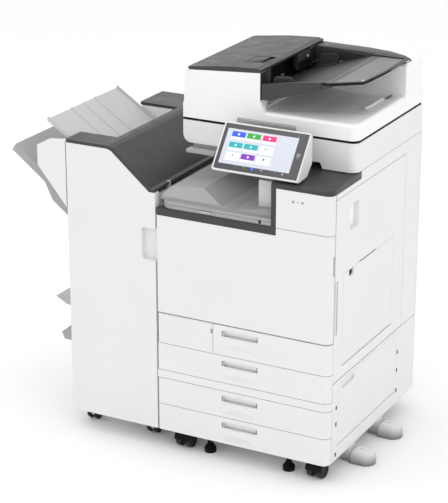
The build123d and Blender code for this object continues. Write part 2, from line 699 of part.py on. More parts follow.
def adf_body():
    """The platen cover with the feeder block, delivery dish and hinges."""
    y = (SCANNER_FRONT, SCANNER_REAR)
    slab = block((6, WIDTH), y, (FEEDER_BOTTOM, LID_TOP))
    slab = soften(slab, Axis.Z, 28, (WIDTH, y[0]))
    slab = soften(slab, Axis.Y, 10, (WIDTH, LID_TOP))
    head_side = [(8, LID_TOP - 12), (14, 1188), (18, 1194.5), (31, 1194.5), (31, FEEDER_TOP),
                 (HEAD_RIGHT, FEEDER_TOP + 17), (HEAD_RIGHT, 1128), (276, 1112), (290, LID_TOP - 12)]
    head = prism_y(head_side, (y[0], 622))
    rear = block((262, WIDTH), (545, y[1]), (LID_TOP - 12, REAR_TOP))
    rear_front = [(262, LID_TOP - 12), (262, 1128), (300, 1138), (INPUT_SEAM + 14, REAR_TOP),
                  (WIDTH, REAR_TOP), (WIDTH, LID_TOP - 12)]
    rear += prism_y(rear_front, (523, 546))
    rear = soften(rear, Axis.Z, 20, (WIDTH, y[1]))
    ridge = [(HEAD_RIGHT - 2, 1180), (HEAD_RIGHT - 2, 1208), (271, 1216), (430, 1214), (500, 1210),
             (548, 1202), (571, 1193), (571, REAR_TOP - 4)]
    ridge = prism_y(ridge, (546, 602)) & soften(block((200, 571), (546, 602), (1100, 1300)),
                                                Axis.Z, 24, (571, 546), (571, 602))
    rear += ridge
    body = slab + head + rear
    body -= block((20, 573), (SCANNER_FRONT + 14, 640), (FEEDER_BOTTOM + 4, LID_TOP - 14))
    body -= block((42, 256), (y[0] + 20, 600), (1140, FEEDER_TOP + 30))
    body -= block((230, 300), (205, 517), (1102, 1128))
    body -= block((250, 275), MOUTH_Y, (MOUTH_SILL, 1220))
    dish = [(268, 1098), (400, LID_TOP - 10), (500, LID_TOP - 8), (569, LID_TOP), (569, 1110), (268, 1110)]
    dish_plan = [(260, 182), (290, 182), (485, 262), (545, 275), (569, 300), (569, 523), (260, 523)]
    body -= prism_y(dish, (180, 523)) & prism_z(dish_plan, (LID_TOP - 11, 1110))
    for low, high in HINGE_X:
        body -= block((low - 2, high + 2), (SCANNER_REAR - 14, SCANNER_REAR + 1), (FEEDER_BOTTOM - 1, 1072))
        ends = (low + 13, high - 13)
        barrel = rod("x", (HINGE_Y, HINGE_Z), 9, ends)
        barrel += block(ends, (SCANNER_REAR - 16, HINGE_Y), (HINGE_Z, HINGE_Z + 9))
        body += barrel - rod("x", (HINGE_Y, HINGE_Z), 4 + PLAY, ends)
    lip = [(y[0] - 7, 1056), (y[0] + 1, 1056), (y[0] + 1, 1069), (y[0] - 7, 1066)]
    body += prism_x(lip, (195, 387))
    for post_y in ROLLER_POSTS:
        post = block((ROLLER[0] - 9, ROLLER[0] + 9), (post_y - 3, post_y + 3), (1139, ROLLER[1] + 8))
        body += post - rod("y", ROLLER, 4 + PLAY, (post_y - 4, post_y + 4))
    x, z = FEED_HINGE
    for hinge_y in FEED_HINGE_Y:
        body += block((x - 3, x + 3), (hinge_y - 4, hinge_y + 4), (1193, z + 2.5))
        body += rod("y", FEED_HINGE, 2, (hinge_y - 12, hinge_y + 12))
    x, z = INPUT_HINGE
    for hinge_y in INPUT_HINGE_Y:
        body += block((264, x), (hinge_y - 4, hinge_y + 4), (z - 5, z - 0.5))
        body += rod("y", INPUT_HINGE, 4.5, (hinge_y - 4, hinge_y + 4))
        body += rod("y", INPUT_HINGE, PIN, (hinge_y - 11.5, hinge_y + 11.5))
    return body


def adf_pickup_roller():
    """The rubber pick-up rollers on their shaft."""
    shaft = rod("y", ROLLER, 4, (ROLLER_POSTS[0] - 6, ROLLER_POSTS[1] + 6))
    for low in (326, 368):
        shaft += rod("y", ROLLER, 14, (low, low + 30))
    return shaft


def adf_feed_cover():
    """The dark lid over the feed rollers, hinged at its left edge."""
    top = [(20, FEEDER_TOP + SEAM), (268, FEEDER_TOP + 17 + SEAM), (270, 1223), (252, 1227),
           (150, 1221), (24, 1206), (19, 1202)]
    plan = block((10, 280), (SCANNER_FRONT, 604), (1190, 1240))
    lid = prism_y(top, (SCANNER_FRONT, 604)) & soften(plan, Axis.Z, 30, (10, 604), (10, SCANNER_FRONT))
    x = FEED_HINGE[0]
    for hinge_y in FEED_HINGE_Y:
        lid -= block((x - 7, x + 7), (hinge_y - 5, hinge_y + 5), (1190, 1212))
        lid -= rod("y", FEED_HINGE, 2 + PLAY, (hinge_y - 13, hinge_y + 13))
    recess = [(182, 1222), (229, 1224.8), (229, 1230), (182, 1230)]
    lid -= prism_y(recess, (233, 313))
    return lid - block((228, 249), (237, 317), (1219, 1230))


def tray_height(x):
    """Height of the input tray's paper face at a distance from the left."""
    slope = (INPUT_HIGH - INPUT_LOW) / (INPUT_SEAM - INPUT_LEFT)
    return INPUT_LOW + (x - INPUT_LEFT) * slope


def tray_plan():
    """Outline of the input tray and its end flap, seen from above."""
    corner, end = (574, 229), (580, 543)
    edges = Polyline(end, (INPUT_LEFT, 543), (INPUT_LEFT, 166), (492, 166), corner)
    return make_face(edges + ThreePointArc(corner, (584, 380), end))


def adf_input_tray():
    """The dark document tray: sloping plate, deep front rail and end flap."""
    left, seam = INPUT_LEFT, INPUT_SEAM
    plate = [(left, INPUT_LOW - 4), (left, INPUT_LOW), (seam, INPUT_HIGH), (590, 1209), (590, 1204),
             (seam, INPUT_HIGH - 5)]
    front = [(left, 1133), (left, 1181), (377, 1199.5), (seam, 1209.6), (590, 1213), (590, 1203),
             (494, 1198), (seam, 1190), (318, 1141), (300, 1133)]
    tray = prism_y(plate, (160, 543)) + prism_y(front, (166, 172))
    plan = tray_plan()
    rim = extrude(Plane.XY.offset(1202.5) * (plan - offset(plan, -5)), 9.5, dir=(0, 0, 1))
    tray += rim & block((seam, 590), (160, 544), (1200, 1215))
    tray = tray & extrude(Plane.XY.offset(1100) * plan, 200, dir=(0, 0, 1))
    tray -= block((seam - 1, seam + 0.5), (172, 539), (1205.5, 1215))
    x, z = INPUT_HINGE
    for hinge_y in INPUT_HINGE_Y:
        for side in (-1, 1):
            ends = sorted((hinge_y + side * 4.5, hinge_y + side * 10))
            tray += block((x - 5, x + 5), ends, (INPUT_LOW, z)) + rod("y", INPUT_HINGE, 6, ends)
        tray -= rod("y", INPUT_HINGE, PIN + PLAY, (hinge_y - 11.5, hinge_y + 10.5))
    return tray


def adf_guide(y, outward):
    """A sheet guide that slides across the input tray; outward is its back."""
    x = (293, 360)
    low = [tray_height(x[0]) + 0.5, tray_height(x[1]) + 0.5]
    fence = [(x[0], low[0]), (x[1], low[1]), (x[1], 1193), (x[1] - 11, 1204), (x[0] + 8, 1199), (x[0], 1191)]
    foot = [(x[0], low[0]), (x[1], low[1]), (x[1], low[1] + 2), (x[0], low[0] + 2)]
    inward = sorted((y, y - outward * 22))
    return prism_y(fence, sorted((y, y + outward * 5))) + prism_y(foot, inward)


# ---------------------------------------------------------------- operating panel

def panel_place():
    """The panel's face: origin at the lower left, Z out of the screen."""
    lean = degrees(atan2(PANEL_HEAD[1] - PANEL_FOOT[1], PANEL_HEAD[0] - PANEL_FOOT[0]))
    return Pos(PANEL_X[0], *PANEL_FOOT) * Rot(lean, 0, 0)


def panel_face():
    """Width and slope length of the panel's face."""
    slope = hypot(PANEL_HEAD[0] - PANEL_FOOT[0], PANEL_HEAD[1] - PANEL_FOOT[1])
    return PANEL_X[1] - PANEL_X[0], slope


def panel_housing():
    """The white wedge behind the screen, with two hinge ears."""
    side = [PANEL_FOOT, PANEL_HEAD, (103, 1069), (99, 1052), (99, 984), (66, 952), (9, 947)]
    housing = prism_x(side, PANEL_X)
    width, slope = panel_face()
    place = panel_place()
    corners = [place * Pos(x, y, 0) for x in (0, width) for y in (0, slope)]
    chosen = []
    for edge in housing.edges():
        for corner in corners:
            ends = [vertex.center() for vertex in edge.vertices()]
            at_face = min((end - corner.position).length for end in ends)
            if at_face < 0.1 and abs(edge.center().X - corner.position.X) < 0.1 and edge.length < 14:
                chosen.append(edge)
    housing = fillet(chosen, 6)
    housing -= place * Pos(width / 2, slope / 2, 0) * Box(width - 9, slope - 9, 6)
    for x in PANEL_EARS:
        ends = (x - 8, x + 8)
        ear = block(ends, (97, PANEL_PIVOT[0]), (PANEL_PIVOT[1] - 8, PANEL_PIVOT[1] + 8))
        ear += rod("x", PANEL_PIVOT, 8, ends)
        housing += ear - rod("x", PANEL_PIVOT, 4 + PLAY, ends)
    return housing


def touch_screen():
    """The glass-faced display in the panel's front."""
    width, slope = panel_face()
    glass = Pos(width / 2, slope / 2, -1.6) * Box(width - 9.6, slope - 9.6, 2.8)
    glass = fillet(glass.edges().filter_by(Axis.Z), 5)
    return panel_place() * glass


def panel_stand():
    """The bracket that carries the panel on the scanner's front."""
    stand = block((285, 379), (158, SCANNER_FRONT), (975, 1030))
    stand += block((285, 379), (PANEL_PIVOT[0], 160), (PANEL_PIVOT[1] - 7, PANEL_PIVOT[1] + 7))
    stand += rod("x", PANEL_PIVOT, 7, (285, 379))
    return stand + rod("x", PANEL_PIVOT, 4, (PANEL_EARS[0] - 10, PANEL_EARS[1] + 10))


# ---------------------------------------------------------------- finisher

def finisher_case():
    """The finisher's sheet shell with brackets, wing and caster webs."""
    y = (29, FIN_REAR)
    left, right = FIN_LEFT, FIN_RIGHT
    wall = FIN_RIDGE - 9
    outer = [(left, 63), (right, 63), (right, 836), (-30, 836), (FIN_SLOPE[0][0], 942),
             (FIN_RIDGE, FIN_TOP), (left, FIN_TOP)]
    inner = [(left + FIN_SHEET, 75), (right - FIN_SHEET, 75), (right - FIN_SHEET, 900), (-100, 990),
             (wall, 990), (wall, FIN_TOP - FIN_SHEET), (left + FIN_SHEET, FIN_TOP - FIN_SHEET)]
    case = prism_y(outer, y) - prism_y(inner, (28, FIN_REAR - FIN_SHEET))
    case -= block((left - 1, wall), (92, 471), (858, 1000))
    floor = [(left, 858), (-196, 858), (-180, 852), (-180, 858), (-196, 862), (left, 940)]
    case += prism_y(floor, (89, 474)) - prism_y([(left + 6, 850), (-205, 850), (left + 6, 930)], (90, 473))
    for side in ((89, 92), (471, 474)):
        case += block((left, wall), side, (846, FIN_TOP))
    case += block((-186, -180), (89, 474), (846, 958)) - block((-190, -170), (110, 452), (914, 944))
    for bearing in (100, 456):
        arm = block((-181, -160), (bearing, bearing + 4), (900, 938))
        case += arm - rod("y", EXIT_ROLLER, 4 + PLAY, (bearing - 1, bearing + 5))
    case -= block((right - 8, right + 1), (130, 560), (802, 826))
    case -= block((left - 1, left + 7), (90, 470), (800, 840))
    case -= block((left - 1, left + 7), (110, 420), (330, 366))
    for slot in TRAY_SLOTS:
        case -= block((left - 1, left + 7), (slot - 6, slot + 6), (695 - SHIFT_TRAVEL, 775))
    wing = [(left, 750), (-424, 874), (-424, 939), (-395, 955), (left, FIN_TOP)]
    case += prism_y(wing, (29, 36))
    case += prism_y([(min(x, left - 1.5), z) for x, z in wing], (2, 29.5))
    x, door_y = DOOR_HINGE
    for z in DOOR_HINGE_Z:
        case += block((x - 4, x + 4), (door_y - 4, 30), (z - 5, z + 5))
        case += rod("z", DOOR_HINGE, PIN, (z - 15, z + 15))
    for bracket in ((94.6, COVER_Y[0] - 1), (COVER_Y[1] + 1, 619)):
        hold = block((-16, right - 1), bracket, (830, 856))
        case += hold - rod("y", COVER_HINGE, 2.5 + PLAY, (bracket[0] - 1, bracket[1] + 1))
    hood = [(left, 372), (-394, 377), (-435, 398), (-384, 432), (left, 474)]
    lining = [(x + 3, z + 3 if z < 390 else z - 3) for x, z in hood]
    case += prism_y(hood, (100, 430)) - prism_y(lining, (103, 427))
    for hinge_y in BOOKLET_HINGE_Y:
        case += block((BOOKLET_HINGE[0] - 4, left), (hinge_y - 4, hinge_y + 4), (252, 260))
        case += rod("y", BOOKLET_HINGE, PIN, (hinge_y - 14, hinge_y + 14))
    for x in FIXED_WHEEL_X:
        for wheel_y in FIXED_WHEEL_Y:
            web = block((x - 6, x + 6), (wheel_y - 14, wheel_y + 14), (14, 64))
            case += web - rod("x", (wheel_y, FIXED_WHEEL_RADIUS), 4 + PLAY, (x - 7, x + 7))
    return case + block((right - 1, 0), (150, 250), (400, 440))


def finisher_caps():
    """The fixed dark caps at the front and rear of the finisher's top."""
    low, high = FIN_TOP + 1, FIN_TOP + CAP
    front = block((FIN_LEFT + 1, -186), (1, 92), (low, high))
    front += prism_y(cover_outline(), (1, COVER_Y[0] - SEAM))
    front -= block((-19, 0), (94, COVER_Y[0]), (840, 860))
    rear = block((FIN_LEFT - 8, -186.5), (473, FIN_REAR + 1), (low, high))
    front = soften(front, Axis.Z, 5, (FIN_LEFT + 1, 1), (FIN_LEFT + 1, 92))
    rear = soften(rear, Axis.Z, 5, (FIN_LEFT - 8, 473), (FIN_LEFT - 8, FIN_REAR + 1))
    return Compound(children=[front.solid(), rear.solid()])


def cover_outline():
    """Section of the slanted dark cover in X and Z."""
    lower = [(-186, FIN_TOP + 1), (FIN_RIDGE, FIN_TOP + 1), (-156, 958), (-24, 847), (FIN_RIGHT - 1, 847)]
    upper = [(FIN_RIGHT - 1, 856), (-21, 857), (-151, 967), (-168, 972), (-186, 972)]
    return lower + upper


def finisher_top_cover():
    """The slanted cover over the paper path, hinged at its low edge."""
    cover = prism_y(cover_outline(), COVER_Y)
    x, z = COVER_HINGE
    for end in COVER_Y:
        cover += rod("y", COVER_HINGE, 2.5, (end - 6, end + 6))
    return cover


def finisher_door():
    """The tall front door, with the same sloping outline as the case."""
    left, right = FIN_LEFT, FIN_RIGHT + 1
    outline = [(left, 63), (right, 63), (right, 846), (FIN_SLOPE[1][0], 846), FIN_SLOPE[0],
               (FIN_RIDGE, FIN_TOP), (left, FIN_TOP)]
    inner = [(left + SKIN, 66), (right - SKIN, 66), (right - SKIN, 843), (-26, 843), (-158, 953.5),
             (FIN_RIDGE - 1, FIN_TOP - SKIN), (left + SKIN, FIN_TOP - SKIN)]
    door = shell_front(outline, inner)
    door = soften(door, Axis.Z, 8, (left, 0))
    door += block((left + 0.1, left + 12), (5, 8.5), (66, FIN_TOP - SKIN))
    x, y = DOOR_HINGE
    for hinge in DOOR_HINGE_Z:
        door -= block((left - 1, left + 5), (SKIN, FRONT + 1), (hinge - 7, hinge + 7))
        door -= block((left - 1, x + 6), (5, FRONT + 1), (hinge - 6, hinge + 6))
        for side in (-1, 1):
            ends = sorted((hinge + side * 6, hinge + side * 14))
            door += block((x - 2, x + 6), (SKIN - 1, y), ends) + rod("z", DOOR_HINGE, 5.5, ends)
        door -= rod("z", DOOR_HINGE, PIN + PLAY, (hinge - 16, hinge + 16))
    door += block((-57, right - 1), (1, 20), (621, 736))
    scoop = block((-51, right + 1), (-1, 16), (627, 730))
    return door - soften(scoop, Axis.Y, 8, (-51, 627), (-51, 730))


def proof_tray():
    """The upper tray, a sloping plate with raised edges."""
    run = (-412, -197)
    rise = 0.648

    def height(x):
        return 868 + (run[1] - x) * rise

    def band(low, high):
        return [(run[0], height(run[0]) + low), (run[1], height(run[1]) + low),
                (run[1], height(run[1]) + high), (run[0] + 3, height(run[0]) + high)]

    tray = prism_y(band(0, 5), (45, 466))
    for rib in (180, 250, 320):
        tray += prism_y(band(4, 7), (rib, rib + 14))
    for edge in ((45, 50), (461, 466)):
        tray += prism_y(band(0, 12), edge)
    plan = [(-412, 45), (-324, 45), (-324, 96), (run[1], 96), (run[1], 466), (-412, 466)]
    tray = tray & prism_z(plan, (800, 1100))
    return tray + (prism_y(band(0, 12), (96, 100)) & block((-324, run[1]), (90, 110), (800, 1100)))


def shift_tray():
    """The big delivery tray that sinks as the stack grows."""
    side = [(-557, 889), (-438, 799), (-410, 741), (-358, 702), (-323, 702), (-323, 745), (-541, 910)]
    y = (60, 460)
    hollow = [(-328, 690), (-328, 742.5), (-540, 903), (-556, 882), (-440, 780), (-412, 720), (-362, 690)]
    tray = prism_y(side, y) - prism_y(hollow, inset(y, 4))
    for rib in (150, 256, 362):
        tray += prism_y(side, (rib, rib + 4))
    for slot in TRAY_SLOTS:
        tray += block((-324, -304), (slot - 5, slot + 5), (705, 740))
        tray += block((-312, -304), (slot - 9, slot + 9), (705, 740))
    return tray


def booklet_tray():
    """The small tray for folded booklets; it folds up against the case."""
    side = [(-330, 249), (-408, 253), (-418, 275), (-388, 300), (-376, 290), (-327, 263)]
    tray = prism_y(side, (100, 420)) + rod("y", BOOKLET_HINGE, 7, (100, 420))
    pocket = [(-345, 259), (-404, 262), (-409, 275), (-387, 292), (-379, 285), (-345, 262)]
    tray -= prism_y(pocket, (106, 414))
    for hinge_y in BOOKLET_HINGE_Y:
        tray -= block((-342, -318), (hinge_y - 5, hinge_y + 5), (240, 275))
        tray -= rod("y", BOOKLET_HINGE, PIN + PLAY, (hinge_y - 15, hinge_y + 15))
    return tray


def stapler_unit():
    """The stapling head on its cross rail."""
    body = block((-250, -140), (150, 230), (560, 640))
    body = soften(body, Axis.Y, 14, (-250, 640), (-140, 640))
    body -= block((-251, -190), (149, 231), (592, 604))
    rail = block((-230, -200), (60, 600), (540, 556))
    return body + rail + block((-225, -205), (160, 220), (555, 561))


def finisher_exit_roller():
    """The delivery roller under the ridge of the slanted cover."""
    shaft = rod("y", EXIT_ROLLER, 4, (96, 464))
    for low in (150, 240, 330, 400):
        shaft += rod("y", EXIT_ROLLER, 9, (low, low + 26))
    return shaft


# ---------------------------------------------------------------- the whole machine

def build():
    """Every named piece, in the frame used for modelling."""
    makers = [main_frame, inner_cover, rear_cover, left_cover, right_cover, upper_front_cover, exit_trim,
              bridge_unit, laser_unit, imaging_unit, fuser_unit, toner_bottles, waste_toner_bottle,
              front_cover, waste_cover, bank_case, stabiliser_feet, levelling_feet, right_door,
              bypass_tray, bank_door, scanner_housing, exposure_glass, scan_carriage, adf_body,
              adf_pickup_roller, adf_feed_cover, adf_input_tray, panel_housing, touch_screen,
              panel_stand, finisher_case, finisher_caps, finisher_top_cover, finisher_door,
              proof_tray, shift_tray, booklet_tray, stapler_unit, finisher_exit_roller]
    parts = {make.__name__: make() for make in makers}
    parts["adf_guide_front"] = adf_guide(GUIDE_Y[0], -1)
    parts["adf_guide_rear"] = adf_guide(GUIDE_Y[1], 1)
    for index in range(1, 5):
        parts[f"tray_{index}_front"] = drawer_front(index)
        parts[f"tray_{index}_bin"] = drawer_bin(index)
    for corner, place in CASTER_PLACES.items():
        parts[f"caster_fork_{corner}"] = caster_fork(*place)
        parts[f"caster_wheels_{corner}"] = caster_wheels(*place)
    for end, y in zip(("front", "rear"), FIXED_WHEEL_Y):
        parts[f"finisher_wheels_{end}"] = finisher_wheels(y)
    return parts


def bottom_centre(parts):
    """Bottom centre of the whole machine's bounding box."""
    limits = Compound(children=[Compound(part.solids()) for part in parts.values()]).bounding_box()
    return Vector(limits.center().X, limits.center().Y, limits.min.Z)


def main():
    """Write each piece, with the origin at the machine's bottom centre."""
    os.makedirs("parts", exist_ok=True)
    parts = build()
    origin = bottom_centre(parts)
    for name, part in parts.items():
        placed = [Pos(*(-origin)) * solid for solid in part.solids()]
        export_step(Compound(placed), f"parts/{name}.step")


if __name__ == "__main__":
    main()
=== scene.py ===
import math

import bmesh
import bpy
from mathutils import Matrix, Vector


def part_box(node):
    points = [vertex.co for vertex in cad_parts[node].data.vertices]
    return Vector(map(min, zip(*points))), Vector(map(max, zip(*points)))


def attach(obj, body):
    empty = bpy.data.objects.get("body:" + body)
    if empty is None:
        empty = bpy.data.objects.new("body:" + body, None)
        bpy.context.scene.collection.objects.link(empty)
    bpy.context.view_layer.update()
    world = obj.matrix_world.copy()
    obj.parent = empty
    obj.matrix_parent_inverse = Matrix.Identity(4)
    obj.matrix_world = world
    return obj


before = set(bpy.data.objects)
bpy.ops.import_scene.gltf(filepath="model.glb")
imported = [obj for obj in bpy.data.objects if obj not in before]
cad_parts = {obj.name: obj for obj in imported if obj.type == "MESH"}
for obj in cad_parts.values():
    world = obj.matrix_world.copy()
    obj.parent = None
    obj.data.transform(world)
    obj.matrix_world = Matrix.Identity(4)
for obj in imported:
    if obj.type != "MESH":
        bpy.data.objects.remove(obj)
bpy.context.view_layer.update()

# The machine's own coordinates, in millimetres: X from the copier's left face,
# Y from its front face to the rear, Z above the floor. The bank's housing has
# its corner at X 0, Y 0, which ties them to the shared frame.
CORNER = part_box("bank_case")[0]


def at(x, y, z):
    """A point in machine millimetres as a point of the frame, in metres."""
    return Vector((CORNER.x + x / 1000, CORNER.y + y / 1000, z / 1000))


# ---------------------------------------------------------------- materials

def nodes_of(name):
    """A new material with its node tree and main shader."""
    material = bpy.data.materials.new(name)
    material.use_nodes = True
    tree = material.node_tree
    return material, tree, tree.nodes["Principled BSDF"]


def noise(tree, scale, detail=3.0, stretch=None):
    """Noise in the frame's own coordinates, stretched along an axis if asked."""
    place = tree.nodes.new("ShaderNodeTexCoord")
    texture = tree.nodes.new("ShaderNodeTexNoise")
    texture.inputs["Scale"].default_value = scale
    texture.inputs["Detail"].default_value = detail
    if stretch:
        mapping = tree.nodes.new("ShaderNodeMapping")
        mapping.inputs["Scale"].default_value = stretch
        tree.links.new(place.outputs["Object"], mapping.inputs["Vector"])
        tree.links.new(mapping.outputs["Vector"], texture.inputs["Vector"])
    else:
        tree.links.new(place.outputs["Object"], texture.inputs["Vector"])
    return texture


def ramp(tree, source, stops, mode="LINEAR"):
    """A colour ramp from a list of (place, colour)."""
    node = tree.nodes.new("ShaderNodeValToRGB")
    node.color_ramp.interpolation = mode
    elements = node.color_ramp.elements
    while len(elements) > 1:
        elements.remove(elements[-1])
    elements[0].position, elements[0].color = stops[0][0], (*stops[0][1], 1)
    for place, colour in stops[1:]:
        elements.new(place).color = (*colour, 1)
    tree.links.new(source, node.inputs["Fac"])
    return node


def spread(tree, source, low, high):
    """Noise mapped onto a range of values."""
    node = tree.nodes.new("ShaderNodeMapRange")
    node.inputs["From Min"].default_value = 0.3
    node.inputs["From Max"].default_value = 0.7
    node.inputs["To Min"].default_value = low
    node.inputs["To Max"].default_value = high
    tree.links.new(source, node.inputs["Value"])
    return node.outputs["Result"]


def surface(tree, shader, grain, strength, depth=0.0002, round_edges=0.0012):
    """Fine relief on the normals, with slightly rounded edges."""
    bump = tree.nodes.new("ShaderNodeBump")
    bump.inputs["Strength"].default_value = strength
    bump.inputs["Distance"].default_value = depth
    tree.links.new(grain, bump.inputs["Height"])
    if round_edges:
        edge = tree.nodes.new("ShaderNodeBevel")
        edge.inputs["Radius"].default_value = round_edges
        tree.links.new(edge.outputs["Normal"], bump.inputs["Normal"])
    tree.links.new(bump.outputs["Normal"], shader.inputs["Normal"])


def plastic(name, colour, rough=0.42, grain=1400.0, relief=0.10, mottle=0.03, coat=0.0, gloss=0.5):
    """Moulded plastic: spark-eroded grain, faint mottling, uneven gloss."""
    material, tree, shader = nodes_of(name)
    soft = noise(tree, 6.0, 4.0)
    shades = [(0.3, [c * (1 - mottle) for c in colour]), (0.7, [min(1, c * (1 + mottle)) for c in colour])]
    tree.links.new(ramp(tree, soft.outputs["Fac"], shades).outputs["Color"], shader.inputs["Base Color"])
    patches = noise(tree, 22.0, 2.0)
    gloss_map = spread(tree, patches.outputs["Fac"], rough - 0.05, rough + 0.06)
    tree.links.new(gloss_map, shader.inputs["Roughness"])
    surface(tree, shader, noise(tree, grain, 2.0).outputs["Fac"], relief)
    shader.inputs["Specular IOR Level"].default_value = gloss
    shader.inputs["Coat Weight"].default_value = coat
    shader.inputs["Coat Roughness"].default_value = 0.12
    return material


def metal(name, colour, rough=0.32, stretch=(1, 1, 40)):
    """Rolled or turned metal with fine drawn lines."""
    material, tree, shader = nodes_of(name)
    lines = noise(tree, 60.0, 5.0, stretch)
    shades = [(0.3, [c * 0.85 for c in colour]), (0.7, colour)]
    tree.links.new(ramp(tree, lines.outputs["Fac"], shades).outputs["Color"], shader.inputs["Base Color"])
    tree.links.new(spread(tree, lines.outputs["Fac"], rough - 0.08, rough + 0.1), shader.inputs["Roughness"])
    surface(tree, shader, lines.outputs["Fac"], 0.08)
    shader.inputs["Metallic"].default_value = 1.0
    return material


def rubber(name, colour):
    """Ground rubber, dull, with dust in its pores."""
    material, tree, shader = nodes_of(name)
    pores = noise(tree, 900.0, 6.0)
    shades = [(0.35, colour), (0.75, [c * 1.9 + 0.01 for c in colour])]
    tree.links.new(ramp(tree, pores.outputs["Fac"], shades).outputs["Color"], shader.inputs["Base Color"])
    tree.links.new(spread(tree, pores.outputs["Fac"], 0.72, 0.86), shader.inputs["Roughness"])
    surface(tree, shader, pores.outputs["Fac"], 0.35)
    return material


def glow(name, colour, strength=0.6, pixels=2600.0):
    """A lit display colour with a faint pixel pattern under its cover."""
    material, tree, shader = nodes_of(name)
    dots = noise(tree, pixels, 0.0)
    shades = [(0.3, [c * 0.93 for c in colour]), (0.7, colour)]
    lit = ramp(tree, dots.outputs["Fac"], shades)
    tree.links.new(lit.outputs["Color"], shader.inputs["Base Color"])
    tree.links.new(lit.outputs["Color"], shader.inputs["Emission Color"])
    tree.links.new(spread(tree, noise(tree, 9.0).outputs["Fac"], 0.12, 0.2), shader.inputs["Roughness"])
    shader.inputs["Emission Strength"].default_value = strength
    return material


def glass(name, colour):
    """Clear float glass with faint smears."""
    material, tree, shader = nodes_of(name)
    smear = noise(tree, 5.0, 4.0, (1, 6, 1))
    shades = [(0.3, [c * 0.97 for c in colour]), (0.7, colour)]
    tree.links.new(ramp(tree, smear.outputs["Fac"], shades).outputs["Color"], shader.inputs["Base Color"])
    tree.links.new(spread(tree, smear.outputs["Fac"], 0.02, 0.09), shader.inputs["Roughness"])
    shader.inputs["Transmission Weight"].default_value = 0.9
    shader.inputs["IOR"].default_value = 1.5
    return material


def floor_shade_graded(name, limits, colours, rough=0.42):
    """Plastic with painted shade that darkens it towards the floor, between two heights."""
    material, tree, shader = nodes_of(name)
    place = tree.nodes.new("ShaderNodeTexCoord")
    split = tree.nodes.new("ShaderNodeSeparateXYZ")
    tree.links.new(place.outputs["Object"], split.inputs["Vector"])
    up = tree.nodes.new("ShaderNodeMapRange")
    up.inputs["From Min"].default_value, up.inputs["From Max"].default_value = limits
    tree.links.new(split.outputs["Z"], up.inputs["Value"])
    shade = ramp(tree, up.outputs["Result"], [(0, [colours[0]] * 3), (1, [colours[1]] * 3)])
    tree.links.new(shade.outputs["Color"], shader.inputs["Base Color"])
    grain = noise(tree, 1400.0, 2.0)
    tree.links.new(spread(tree, grain.outputs["Fac"], rough - 0.05, rough + 0.06), shader.inputs["Roughness"])
    surface(tree, shader, grain.outputs["Fac"], 0.1)
    return material


def banded(name, limits, colours, rough=0.35):
    """Plastic whose colour changes along X at the given limits."""
    material, tree, shader = nodes_of(name)
    place = tree.nodes.new("ShaderNodeTexCoord")
    split = tree.nodes.new("ShaderNodeSeparateXYZ")
    tree.links.new(place.outputs["Object"], split.inputs["Vector"])
    low, high = at(limits[0], 0, 0).x, at(limits[-1], 0, 0).x
    along = tree.nodes.new("ShaderNodeMapRange")
    along.inputs["From Min"].default_value = low
    along.inputs["From Max"].default_value = high
    tree.links.new(split.outputs["X"], along.inputs["Value"])
    span = limits[-1] - limits[0]
    stops = [((limit - limits[0]) / span, colour) for limit, colour in zip(limits, colours)]
    bands = ramp(tree, along.outputs["Result"], stops, "CONSTANT")
    tree.links.new(bands.outputs["Color"], shader.inputs["Base Color"])
    grain = noise(tree, 700.0, 2.0)
    tree.links.new(spread(tree, grain.outputs["Fac"], rough - 0.04, rough + 0.06), shader.inputs["Roughness"])
    surface(tree, shader, grain.outputs["Fac"], 0.08)
    return material


WHITE = plastic("white_moulding", (0.76, 0.76, 0.757), mottle=0.012)
# A lighter, glossier white; on the drawer lips its extra lightness is a painted highlight.
SATIN_AND_HIGHLIGHT = plastic("satin_white_and_highlight", (0.86, 0.86, 0.855), rough=0.3, relief=0.04, mottle=0.01)
# The brightest white: painted light in the grip scoops, where shade would fall.
PAINTED_LIGHT_WHITE = plastic("scoop_white_painted_light", (0.96, 0.96, 0.955), rough=0.3, relief=0.04, mottle=0.008)
# A lighter copy of the white moulding: painted light on the document feeder's body.
FEEDER_LIT_WHITE = plastic("feeder_white_painted_light", (0.87, 0.87, 0.865), mottle=0.012)
DARK = plastic("dark_moulding", (0.034, 0.034, 0.035), rough=0.40, relief=0.22, mottle=0.08)
BLACK = plastic("black_moulding", (0.016, 0.016, 0.017), rough=0.34, relief=0.10, mottle=0.1, gloss=0.3)
# Near-black painted shade for gaps, slots, vents and recesses.
SHADOW = plastic("painted_deep_shade", (0.006, 0.006, 0.006), rough=0.7, mottle=0.2, gloss=0.1)
GREY = plastic("grey_moulding", (0.36, 0.36, 0.365), rough=0.46, relief=0.12, mottle=0.03)
PALE = plastic("pale_grey_moulding", (0.52, 0.52, 0.52), rough=0.42, relief=0.10, mottle=0.025)
CASTER = plastic("caster_moulding", (0.005, 0.005, 0.0055), rough=0.5, mottle=0.1, gloss=0.12)
